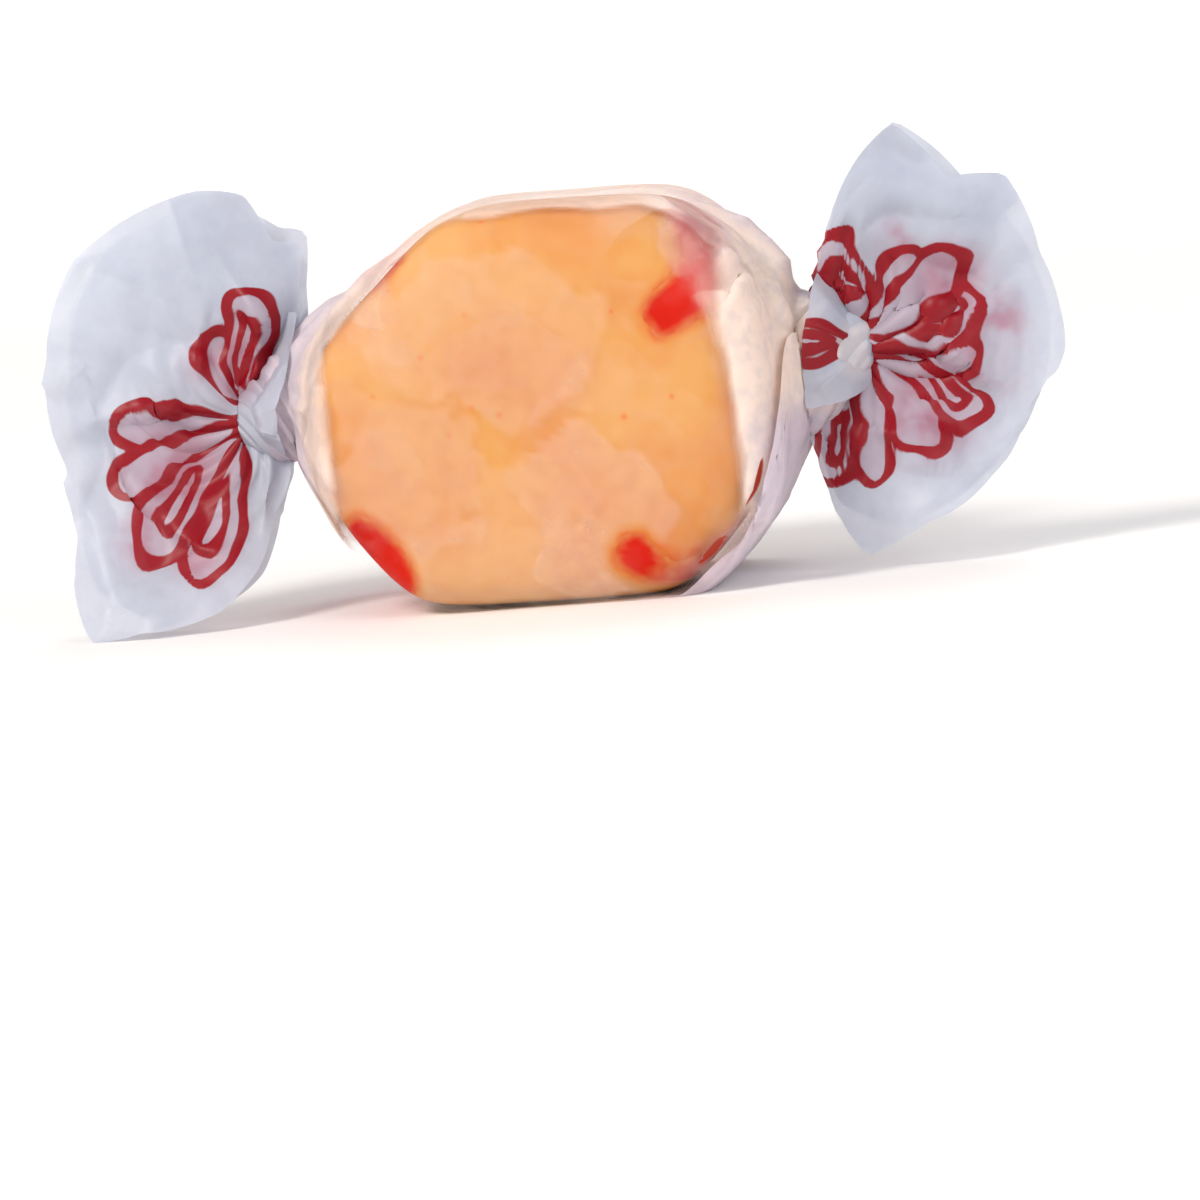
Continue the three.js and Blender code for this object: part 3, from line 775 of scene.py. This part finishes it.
# one row of the sleeve, which takes on the facets of the twist towards it
def sleeveRow(x, sheet):
    wing = wings["left"] if x < drum["centreX"] else wings["right"]
    shoulder = float(smoothStep(0, 1, 1 - abs(x - wing["throatX"]) / neck["shoulderLength"]))
    z = float(axisZ(np.array(x)))

    def place(sheet, rise):
        loop = sheet + math.radians(wing["lead"]) * shoulder
        reach = sleeveReach(np.full_like(sheet, x), loop)
        reach = reach * (1 + neck["fluteHeight"] * shoulder ** 2 * rise)
        return np.stack([np.full_like(sheet, x), -reach * np.sin(loop), z + reach * np.cos(loop)], 1)

    at, rise = wing["ridges"]
    before, after, part = ridgesAround(wing["ridges"], sheet)
    faceted = mixValues(place(at[before], rise[before]), place(at[after], rise[after]), part[:, None])
    flat = float(smoothStep(neck["facetsFrom"], neck["facetsFull"], abs(x - drum["centreX"])))
    return mixValues(place(sheet, np.zeros_like(sheet)), faceted, flat)


# The print is a rosette of outlined petals round each twist.
ornament = {
    "halfStroke": 0.27,
    "uneven": (1.3, 0.5),  # size, and share of the stroke
    "wobble": (1.9, 0.45),  # size and distance
    "club": 0.3,  # how much wider a petal is at its outer end
    "none": 5.0,  # a distance that means no print nearby
}


# For points at (out, up) from a knot: distance to the nearest printed stroke in millimetres, below 0 in
# the stroke itself, and 1 where the point is inside a petal.
def printAt(petals, out, up):
    flat = np.stack([out, up, np.zeros_like(out)], 1)
    size, share = ornament["uneven"]
    stroke = ornament["halfStroke"] * (1 + share * noiseAt(flat, size, seed=8))
    size, far = ornament["wobble"]
    out = out + far * noiseAt(flat, size, seed=1)
    up = up + far * noiseAt(flat, size, seed=2)
    nearest = np.full(out.shape, ornament["none"])
    inside = np.zeros(out.shape)
    for direction, start, end, halfWidth in petals:
        turn = math.radians(direction)
        halfLength = (end - start) / 2
        u = out * math.cos(turn) + up * math.sin(turn) - (start + end) / 2
        v = up * math.cos(turn) - out * math.sin(turn)
        wide = halfWidth * (1 + ornament["club"] * np.clip(u / halfLength, -1, 1))
        level = np.hypot(u / halfLength, v / wide) + 1e-6
        slope = np.hypot(u / halfLength ** 2, v / wide ** 2) / level + 1e-6
        away = (level - 1) / slope
        nearest = np.where(away < 0, -away, np.minimum(nearest, away))
        inside = np.maximum(inside, away < 0)
    return nearest - stroke, inside


# Where the wet paper clings to a stripe, beside the sheet's outer edge: lines of (x, z) and half widths.
# There the paper takes a dark red: the stripe seen through it, with painted shade of the flap over it.
slivers = [
    (((11.3, 6.5), (10.7, 5.2), (9.9, 3.9)), 0.28),
    (((9.3, 3.1), (8.5, 2.25), (7.5, 1.4)), 0.22),
]


# distance in millimetres to the nearest of them, below 0 inside
def sliverAt(points):
    nearest = np.full(len(points), ornament["none"])
    for line, halfWidth in slivers:
        for i, (start, end) in enumerate(zip(line, line[1:])):
            step = np.subtract(end, start)
            t = np.clip(((points[:, [0, 2]] - start) @ step) / (step @ step), 0, 1)
            away = np.linalg.norm(points[:, [0, 2]] - start - t[:, None] * step, axis=1)
            run = (i + t) / (len(line) - 1)
            nearest = np.minimum(nearest, away - halfWidth * (1 - (2 * run - 1) ** 2))
    return np.where(points[:, 1] < -2, nearest, ornament["none"])


# how strongly print on the far layer shows through a fan
def ghostAt(wing, points):
    total = np.zeros(len(points))
    for out, up, radius in wing["ghosts"]:
        x = wing["side"] * (points[:, 0] - wing["knotX"]) - out
        z = points[:, 2] - wing["knotZ"] - up
        total = np.maximum(total, np.exp(-((x * x + z * z) / radius ** 2) ** 1.5))
    return total


# how strongly the stripes' dye shows in the sleeve
def blotAt(points):
    total = np.zeros(len(points))
    for x, z, radius, amount in blots:
        away = np.hypot(points[:, 0] - x, points[:, 2] - z) / radius
        total = np.maximum(total, amount * np.exp(-away ** 3))
    return total * smoothStep(-1, -3, points[:, 1])


# The angles of the sheet at one x: its outer edge climbs to the right, its inner one is straight.
def sheetAngles(x):
    climb = sum(turn * float(smoothStep(low, high, x)) for low, high, turn in paper["slant"])
    start = paper["startAngle"] - climb
    end = paper["startAngle"] + sheetTurn
    return np.radians(np.linspace(start, end, paper["columns"] + 1))


# Rows of the sheet from the rim of a fan to its throat: their points, and for each its direction in the
# fan and its distance from the knot, both 0 in the neck.
def wingRows(wing):
    rows = []
    sheet = sheetAngles(wing["throatX"])
    knotRow = neckRow(wing, sheet, 1.0)
    zero = np.zeros_like(sheet)
    for i in range(paper["fanRows"], 0, -1):
        share = i / paper["fanRows"]
        points, degrees, reach = fanRow(wing, sheet, share)
        points = mixValues(knotRow, points, float(smoothStep(0, fan["blendIn"], share)))
        rows.append((points, degrees, reach))
    for i in range(paper["neckRows"]):
        rows.append((neckRow(wing, sheet, 1 - i / paper["neckRows"]), zero, zero))
    return rows


# rows of the cuff over a neck, likewise
def cuffRows(wing):
    cuff = wing["cuff"]
    rim, stand = np.array(cuff["rim"]), np.array(cuff["stand"])
    degrees = np.linspace(rim[0, 0], rim[-1, 0], paper["cuffColumns"] + 1)
    length = np.interp(degrees, rim[:, 0], rim[:, 1])
    depth = np.interp(degrees, stand[:, 0], stand[:, 1])
    rows = []
    for i in range(paper["cuffRows"] + 1):
        reach = mixValues(paper["cuffFrom"], length, i / paper["cuffRows"])
        out = reach * np.cos(np.radians(degrees))
        up = reach * np.sin(np.radians(degrees))
        x = wing["knotX"] + wing["side"] * out
        share = np.clip((x - wing["throatX"]) / (wing["knotX"] - wing["throatX"]), 0, 1)
        neckReach = mixValues(wing["throatRadius"], wing["knotRadius"], share ** neck["taper"])
        onSleeve = wing["side"] * (wing["throatX"] - x) > 0
        front = np.where(onSleeve, sleeveReach(x, np.full_like(x, math.pi / 2)), neckReach)
        fold = sum(height * foldProfile(out, up, line, left, right)
                   for line, height, left, right in cuff["folds"])
        nearKnot = mixValues(0.5, 1, smoothStep(0.4, 1.6, reach))  # it stands off half as far there
        y = -depth * nearKnot * (front * (1 + neck["fluteHeight"]) + paper["cuffGap"]) - fold
        rows.append((np.stack([x, y, wing["knotZ"] + up], 1), degrees, reach))
    return rows


# rows of the innermost turns, which close a twist: from the knot inwards to a point in its neck
def coreRows(wing):
    sheet = sheetAngles(wing["throatX"])
    zero = np.zeros_like(sheet)
    rows = []
    for share, part in neck["core"]:
        ring = neckRow(wing, sheet, share)
        centre = ring[:-1].mean(axis=0)
        rows.append((centre + (ring - centre) * part, zero, zero))
    return rows


# rows of the sleeve, closer together towards the throats
def sleeveRows():
    rows = []
    crowding = 0.75
    throats = wings["left"]["throatX"], wings["right"]["throatX"]
    for i in range(paper["sleeveRows"] + 1):
        even = 2 * i / paper["sleeveRows"] - 1
        x = mixValues(*throats, 0.5 + 0.5 * math.copysign(abs(even) ** crowding, even))
        zero = np.zeros(paper["columns"] + 1)
        rows.append((sleeveRow(x, sheetAngles(x)), zero, zero))
    return rows


# millimetres from a point to the nearest of some surfaces, at most `limit`
def gapTo(trees, point, limit):
    found = [tree.find_nearest(Vector(point) * metre, limit * metre)[3] for tree in trees]
    return min([gap / metre for gap in found if gap is not None], default=limit)


def gridQuads(high, wide):
    index = np.arange(high * wide).reshape(high, wide)
    corners = index[:-1, :-1], index[:-1, 1:], index[1:, 1:], index[1:, :-1]
    return np.stack([corner.ravel() for corner in corners], 1)


def makeWrapper():
    left, middle, right = wingRows(wings["left"]), sleeveRows(), wingRows(wings["right"])[::-1]
    rows = left + middle + right
    grid, degrees, reach = (np.array([row[i] for row in rows]) for i in range(3))
    high, wide = reach.shape
    # -1 on the left twist and fan, 0 on the sleeve and 1 on the right
    place = np.repeat(np.repeat([-1, 0, 1], [len(left), len(middle), len(right)]), wide)
    onSleeve = place == 0
    reach, degrees = reach.ravel(), degrees.ravel()

    # the sheet winds inwards from its outer edge to the covered one
    normal = np.cross(np.gradient(grid, axis=1), np.gradient(grid, axis=0))
    normal /= np.linalg.norm(normal, axis=2)[:, :, None] + 1e-9
    turned = np.linspace(0, sheetTurn, wide)
    lift = paper["lapRise"] * np.clip((360 - turned) / (360 - paper["lap"]), 0, 1)
    tightFrom, tightTo, tightest = paper["lapTight"]
    tight = mixValues(tightest, 1, smoothStep(tightFrom, tightTo, grid[:, :, 0]))
    points = (grid + normal * (lift * tight)[:, :, None]).reshape(-1, 3)

    # folds and crumples; on the sleeve they only ever lift the paper off the candy
    crumple = creasesAt(points, paper["crumpleSize"], seed=3)
    fine = creasesAt(points, paper["fineSize"], seed=5)
    onWing = smoothStep(1.5, 5, reach)
    shoulder = onSleeve * smoothStep(8.0, 10.5, np.abs(points[:, 0] - 0.4))
    zones = {"wing": onWing, "shoulder": shoulder, "close": onSleeve * 1 - shoulder}
    rise = (foldHeights(points) + panel["height"] * panelShare(points)) * onSleeve
    for zone, share in zones.items():
        large, small, sunk = paper["crumples"][zone]
        rise = rise + share * (large * (crumple - sunk) + small * (fine - sunk))
    points = points + normal.reshape(-1, 3) * rise[:, None]
    covered = np.tile(turned > paper["seam"], high) & onSleeve
    sliver = np.where(covered, sliverAt(points), ornament["none"])
    sheetSize = len(points)
    quads = gridQuads(high, wide)

    # the cuffs and the cores of the twists belong to the same sheet
    sides = {-1: wings["left"], 1: wings["right"]}
    printed = [(place == side, wing["petals"]) for side, wing in sides.items()]
    for side, wing in sides.items():
        for extra in (cuffRows(wing), coreRows(wing)):
            extraPoints, extraDegrees, extraReach = (np.array([row[i] for row in extra]) for i in range(3))
            quads = np.concatenate([quads, gridQuads(*extraReach.shape) + len(points)])
            extraPoints = extraPoints.reshape(-1, 3)
            crease = creasesAt(extraPoints, paper["fineSize"], seed=6)
            extraPoints[:, 1] -= paper["cuffCrumple"] * crease * smoothStep(0.5, 2, extraReach.ravel())
            points = np.concatenate([points, extraPoints])
            degrees = np.concatenate([degrees, extraDegrees.ravel()])
            reach = np.concatenate([reach, extraReach.ravel()])
            printed.append((np.arange(len(points)) >= len(place), wing["cuff"]["petals"]))
            place = np.concatenate([place, np.full(extraReach.size, side)])
    points[:, 2] = np.maximum(points[:, 2], paper["floor"])
    piece = makeMesh("waxWrapper", points, quads)

    # what the material reads: first the print
    count = len(points)
    ink = np.full(count, ornament["none"])
    petal = np.zeros(count)
    for chosen, petals in printed:
        here = np.zeros(count, dtype=bool)
        here[:len(chosen)] = chosen
        here &= (reach > 0) & (reach < 10)
        turn = np.radians(degrees[here])
        ink[here], petal[here] = printAt(petals, reach[here] * np.cos(turn), reach[here] * np.sin(turn))
    setAttribute(piece, "ink", ink)
    setAttribute(piece, "petal", petal)
    setAttribute(piece, "sliver", np.append(sliver, np.full(count - sheetSize, ornament["none"])))
    ghosts = [ghostAt(wing, points) for wing in sides.values()]
    setAttribute(piece, "ghost", np.select([place < 0, place > 0], ghosts, blotAt(points)))
    setAttribute(piece, "reach", reach)

    # then the distance from the candy, and how milky the paper is over it
    x, y, z = points.T
    gaps = np.array([gapTo([candyTree], p, paper["seenTo"]) for p in points])
    flap = (smoothStep(*paper["flap"], turned) * smoothStep(0.5, 1, tight)).ravel()
    clings = panel["clings"] * panelShare(points) * smoothStep(*panel["clingsTo"], x)
    gaps[:sheetSize] *= 1 - clings[:sheetSize] * (1 - flap)
    gaps[:sheetSize] += paper["flapLoose"] * flap
    freeFrom, wholeFrom, nearer = paper["cling"]
    cling = smoothStep(freeFrom, wholeFrom, np.array([gapTo(clingTrees, p, freeFrom) for p in points]))
    far = np.hypot(x - drum["centreX"], z - drum["centreZ"])
    cling = cling * (1 - smoothStep(*paper["clingFreeFar"], far) * smoothStep(*paper["clingFreeHigh"], z))
    setAttribute(piece, "gap", gaps * (1 - nearer * cling))
    setAttribute(piece, "haze", hazeAt(points) * (1 - cling))
    # painted light: the warm tone at the upper right, where the lamps leave the paper in shade
    warm = smoothStep(*paintedLight["x"], x) * smoothStep(*paintedLight["z"], z) * smoothStep(*paintedLight["y"], y)
    setAttribute(piece, "paintedLight", warm)
    return piece


wrapper = makeWrapper()
print("wax paper made:", len(wrapper.data.polygons), "faces")


def newMaterial(name):
    material = bpy.data.materials.new(name)
    material.use_nodes = True
    material.node_tree.nodes.clear()
    return material


# Adds one node, with its settings by name and its inputs by name or number, each a value or another
# node's output, and gives back the output asked for.
def addNode(material, kind, inputs=None, output=0, **settings):
    tree = material.node_tree
    node = tree.nodes.new("ShaderNode" + kind)
    for key, value in settings.items():
        setattr(node, key, value)
    for key, value in (inputs or {}).items():
        if isinstance(value, bpy.types.NodeSocket):
            tree.links.new(value, node.inputs[key])
        else:
            node.inputs[key].default_value = value
    return node.outputs[output] if len(node.outputs) else None


# the scale of a pattern whose features are that many millimetres across
def scaleOf(size):
    return 1 / (size * metre)


# Boiled sugar, corn syrup and oil, pulled until it is full of fine air: opaque, satin and a
# little waxy, so light sinks in and the edges glow.
taffyLook = {
    "pulledTaffy": {"colour": "#d49a57", "deep": "#cc7d31", "speck": "#dc6420", "glow": 0.3},
    "stripeTaffy": {"colour": "#cc1c08", "deep": "#b81206", "speck": "#9c1204", "glow": 0.18},
}
taffyPattern = {
    "swirls": 6,  # millimetres across, from the pulling
    "air": 0.53,  # coarser than the real bubbles, so that it shows
    "speckCells": 1.2,
    "speckSize": 0.14,  # of a cell, for the largest
    "speckShare": 0.6,  # of the cells have one
    "speckStrength": 0.5,
}


def makeTaffyMaterial(name, look, other):
    material = newMaterial(name)
    place = addNode(material, "TexCoord", output="Object")
    broad = addNode(material, "TexNoise", {
        "Vector": place, "Scale": scaleOf(taffyPattern["swirls"]), "Detail": 3})
    air = addNode(material, "TexNoise", {
        "Vector": place, "Scale": scaleOf(taffyPattern["air"]), "Detail": 2})
    depth = addNode(material, "MapRange", {"Value": broad, "From Min": 0.42, "From Max": 0.72})
    bleed = addNode(material, "Attribute", output="Fac", attribute_name="bleed")
    ragged = addNode(material, "Math", {0: bleed, 1: air}, operation="MULTIPLY")
    cells = addNode(material, "TexVoronoi", {"Vector": place, "Scale": scaleOf(taffyPattern["speckCells"])})
    chosen = addNode(material, "SeparateColor", {0: cells.node.outputs["Color"]})
    radius = addNode(material, "MapRange", {
        "Value": chosen, "From Min": 1 - taffyPattern["speckShare"], "To Max": taffyPattern["speckSize"]})
    inSpeck = addNode(material, "Math", {0: radius, 1: cells}, operation="GREATER_THAN")
    speck = addNode(material, "Math", {0: inSpeck, 1: taffyPattern["speckStrength"]}, operation="MULTIPLY")
    colour = toLinear(look["colour"])
    for share, paint in ((depth, look["deep"]), (ragged, other["colour"]), (speck, look["speck"])):
        colour = addNode(material, "Mix", {0: share, 6: colour, 7: toLinear(paint)}, 2, data_type="RGBA")
    bump = addNode(material, "Bump", {"Height": air, "Strength": 0.12, "Distance": 0.1 * metre})
    surface = addNode(material, "BsdfPrincipled", {
        "Base Color": colour,
        "Roughness": 0.55,
        "IOR": 1.45,
        "Specular IOR Level": 0.15,
        "Subsurface Weight": 0.25,
        "Subsurface Radius": (1.0, 0.45, 0.2),
        "Subsurface Scale": look["glow"] * metre,
        "Normal": bump})
    addNode(material, "OutputMaterial", {0: surface})
    return material


# Wax paper: thin bleached tissue soaked in paraffin, crumpled by the wrapping machine. It is
# milky where it stands free, and nearly clear where it lies on the candy.
waxLook = {
    "paper": "#c6cbd9",
    "warm": "#feede0",  # lit through from the candy
    "cool": "#e4d8e2",  # loose over the shoulders
    "grain": "#b4bbcd",
    "ink": "#9a0018",
    "blush": "#b9748a",
    # dark red of a stripe seen through clinging paper, darkened with painted shade of the flap over it
    "shadedStripe": "#b23a22",
    "through": 0.3,  # share of the light that comes through it
    # noises, each with its size in millimetres and its detail; the fibres and their relief are drawn
    # coarser than they are, so that they show
    "noises": {
        "cells": (6, 1.0),
        "clouds": (9, 1.0),
        "spots": (3, 1.5),
        "fibres": (1.1, 2.0),
        "mottles": (0.77, 3.0),
        "blotches": (2.1, 2.0),
        "relief": (0.38, 3.0),
    },
    # What the mesh tells and the noises are worked up in this order. A share is what it reads, from, to,
    # and what it gives at those ends; a sum is an operation on two values.
    "steps": {
        "onWing": ("reach", 0.2, 2.0, 0, 1),
        # how milky it is
        "cellMilk": ("cells", 0.47, 0.49, 0.85, 1.15),
        "patch": ("MULTIPLY", "haze", "cellMilk"),
        "cloud": ("clouds", 0.48, 0.495, 0, 0.04),
        "spot": ("spots", 0.5, 0.52, 0, 0.03),
        "faint": ("ADD", "cloud", "spot"),
        "onFace": ("haze", 0, 0.03, 0, 1),
        "mottle": ("MULTIPLY", "faint", "onFace"),
        "milk": ("ADD", "patch", "mottle"),
        # what its distance from the candy adds: clear, then lifted, then loose
        "cellGap": ("cells", 0.47, 0.49, 0.9, 1.15),
        "away": ("MULTIPLY", "gap", "cellGap"),
        "lifted": ("away", 0.42, 1.05, 0, 0.66),
        "loose": ("away", 1.05, 2.6, 0, 0.22),
        "raised": ("ADD", "lifted", "loose"),
        "onCandy": ("ADD", "raised", "milk"),
        "sheet": ("MIX", "onWing", "onCandy", 0.86),
        "fibre": ("fibres", 0.3, 0.7, -0.02, 0.02),
        "bare": ("ADD", "sheet", "fibre"),
        # the print, and the stripe seen through the paper in painted shade, hide more
        "printed": ("ink", -0.04, 0.04, 1, 0),
        "shadedStripeShare": ("sliver", -0.05, 0.05, 1, 0),
        "inkCover": ("MULTIPLY", "printed", 0.97),
        "shadedStripeCover": ("MULTIPLY", "shadedStripeShare", 0.9),
        "marks": ("MAXIMUM", "inkCover", "shadedStripeCover"),
        "cover": ("MAXIMUM", "bare", "marks"),
        # shares of the colours
        "apart": ("away", 0.5, 1.5, 0, 1),
        # the cool tone gives way where light is painted on
        "notPaintedLight": ("SUBTRACT", 1, "paintedLight"),
        "cooled": ("MULTIPLY", "apart", "notPaintedLight"),
        "far": ("away", 3.0, 4.0, 0, 1),
        "free": ("MAXIMUM", "onWing", "far"),
        "grey": ("mottles", 0.4, 0.65, 0, 0.22),
        "blotch": ("blotches", 0.38, 0.6, 0.15, 0.75),
        "soaked": ("MULTIPLY", "ghost", "blotch"),
        "tinted": ("MULTIPLY", "petal", 0.3),
    },
    # share and colour of each layer, from the lowest up
    "layers": (("cooled", "cool"), ("free", "paper"), ("grey", "grain"), ("soaked", "blush"),
               ("tinted", "blush"), ("printed", "ink"), ("shadedStripeShare", "shadedStripe")),
}


def makeWaxMaterial():
    material = newMaterial("waxPaper")
    place = addNode(material, "TexCoord", output="Object")
    parts = {name: addNode(material, "Attribute", output="Fac", attribute_name=name)
             for name in ("reach", "haze", "gap", "paintedLight", "ghost", "petal", "ink", "sliver")}
    for name, (size, detail) in waxLook["noises"].items():
        inputs = {"Vector": place, "Scale": scaleOf(size), "Detail": detail}
        parts[name] = addNode(material, "TexNoise", inputs)
    for name, (kind, *values) in waxLook["steps"].items():
        values = [parts.get(value, value) for value in values]
        if kind in parts:
            ends = zip(("From Min", "From Max", "To Min", "To Max"), values)
            parts[name] = addNode(material, "MapRange", {"Value": parts[kind], **dict(ends)},
                                  interpolation_type="SMOOTHSTEP")
        elif kind == "MIX":
            parts[name] = addNode(material, "Mix", dict(zip((0, 2, 3), values)))
        else:
            parts[name] = addNode(material, "Math", dict(enumerate(values)), operation=kind)
    colour = toLinear(waxLook["warm"])
    for share, paint in waxLook["layers"]:
        colour = addNode(material, "Mix", {0: parts[share], 6: colour, 7: toLinear(waxLook[paint])}, 2,
                         data_type="RGBA")
    bump = addNode(material, "Bump", {"Height": parts["relief"], "Strength": 0.15, "Distance": 0.06 * metre})
    surface = addNode(material, "BsdfPrincipled", {
        "Base Color": colour, "Roughness": 0.42, "IOR": 1.44, "Normal": bump})
    through = addNode(material, "BsdfTranslucent", {"Color": colour, "Normal": bump})
    clear = addNode(material, "BsdfTransparent")
    sheet = addNode(material, "MixShader", {0: waxLook["through"], 1: surface, 2: through})
    whole = addNode(material, "MixShader", {0: parts["cover"], 1: clear, 2: sheet})
    addNode(material, "OutputMaterial", {0: whole})
    return material


bodyLook, stripeLook = taffyLook["pulledTaffy"], taffyLook["stripeTaffy"]
stripeMaterial = makeTaffyMaterial("stripeTaffy", stripeLook, bodyLook)
for piece in [body] + list(stripePieces.values()):
    piece.data.materials.clear()  # the cuts have left material numbers on the faces
    piece.data.materials.append(stripeMaterial)
body.data.materials[0] = makeTaffyMaterial("pulledTaffy", bodyLook, stripeLook)
wrapper.data.materials.append(makeWaxMaterial())
print("materials made")

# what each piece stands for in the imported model
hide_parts("candy")
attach(body, "root")
for name, piece in stripePieces.items():
    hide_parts(stripes[name]["node"])
    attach(piece, "root")
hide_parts("wrapper")
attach(wrapper, "root")

stage = {
    "floorColour": "#f4f3f2",
    "floorRadius": 290,  # wide enough for a camera on any side
    "flatRadius": 280,
    "bendRadius": 60,
    "bendSteps": 12,
    "height": 120,
    "sides": 96,
    "grain": 1.1,  # of the rolled paint, coarser than it is so that it shows
}


# a round floor that bends up into a low wall
def makeStage():
    bend, steps, sides = stage["bendRadius"], stage["bendSteps"], stage["sides"]
    profile = [(stage["flatRadius"], 0)]
    for i in range(steps + 1):
        turn = math.pi / 2 * i / steps
        profile.append((stage["floorRadius"] + bend * math.sin(turn), bend * (1 - math.cos(turn))))
    profile.append((profile[-1][0], stage["height"]))
    turns = [2 * math.pi * i / sides for i in range(sides)]
    points = [(r * math.cos(turn), r * math.sin(turn), z) for r, z in profile for turn in turns]
    sweep = makeMesh("paleSweep", points, [tuple(range(sides))] + tubeFaces(len(profile) - 1, sides))

    # Emulsion paint rolled on board: matt, with a faint grain that keeps the light from looking flat.
    material = newMaterial("paintedSweep")
    place = addNode(material, "TexCoord", output="Object")
    grain = addNode(material, "TexNoise", {"Vector": place, "Scale": scaleOf(stage["grain"])})
    bump = addNode(material, "Bump", {"Height": grain, "Strength": 0.05, "Distance": 0.1 * metre})
    surface = addNode(material, "BsdfPrincipled", {
        "Base Color": toLinear(stage["floorColour"]), "Roughness": 0.8, "Normal": bump})
    addNode(material, "OutputMaterial", {0: surface})
    sweep.data.materials.append(material)


makeStage()

# soft boxes round the taffy, all turned to the middle of the candy
lights = {
    "keyLight": {"place": (-260, -320, 380), "size": 200, "power": 2.2, "colour": "#fffaf2"},
    "fillLight": {"place": (330, -300, 220), "size": 360, "power": 0.95, "colour": "#fbf9ff"},
    "backLight": {"place": (60, 260, 380), "size": 260, "power": 0.5, "colour": "#ffffff"},
}
aim = Vector((0, 0, 10)) * metre
for name, light in lights.items():
    data = bpy.data.lights.new(name, "AREA")
    data.shape = "DISK"
    data.size = light["size"] * metre
    data.energy = light["power"]
    data.color = toLinear(light["colour"])[:3]
    lamp = bpy.data.objects.new(name, data)
    scene.collection.objects.link(lamp)
    place = Vector(light["place"]) * metre
    lamp.location = place
    lamp.rotation_euler = (aim - place).to_track_quat("-Z", "Y").to_euler()

room = {"colour": "#fdfdff", "strength": 0.45}
world = bpy.data.worlds.new("softRoom")
scene.world = world
world.use_nodes = True
background = world.node_tree.nodes["Background"]
background.inputs["Color"].default_value = toLinear(room["colour"])
background.inputs["Strength"].default_value = room["strength"]

# the photograph's view
camera = {
    "azimuth": 7.0,
    "elevation": 6.5,
    "roll": 5.5,
    "distance": 280,
    "target": (1.76, 0, -0.7),
    "picture": 60,  # width of what the picture shows at the target
    "sensor": 36,
}


def makeCamera():
    data = bpy.data.cameras.new("photoCamera")
    data.sensor_width = camera["sensor"]
    data.lens = camera["sensor"] * camera["distance"] / camera["picture"]
    data.clip_start = 0.01
    data.clip_end = 10
    eye = bpy.data.objects.new("photoCamera", data)
    scene.collection.objects.link(eye)
    a, e = math.radians(camera["azimuth"]), math.radians(camera["elevation"])
    back = Vector((math.sin(a) * math.cos(e), -math.cos(a) * math.cos(e), math.sin(e)))
    right = Vector((math.cos(a), math.sin(a), 0))
    up = back.cross(right)
    roll = Matrix.Rotation(-math.radians(camera["roll"]), 3, back)
    turn = Matrix((roll @ right, roll @ up, back)).transposed()
    place = (Vector(camera["target"]) + back * camera["distance"]) * metre
    eye.matrix_world = Matrix.Translation(place) @ turn.to_4x4()
    scene.camera = eye


makeCamera()
scene.view_settings.view_transform = "Standard"
print("stage, lights and camera placed")
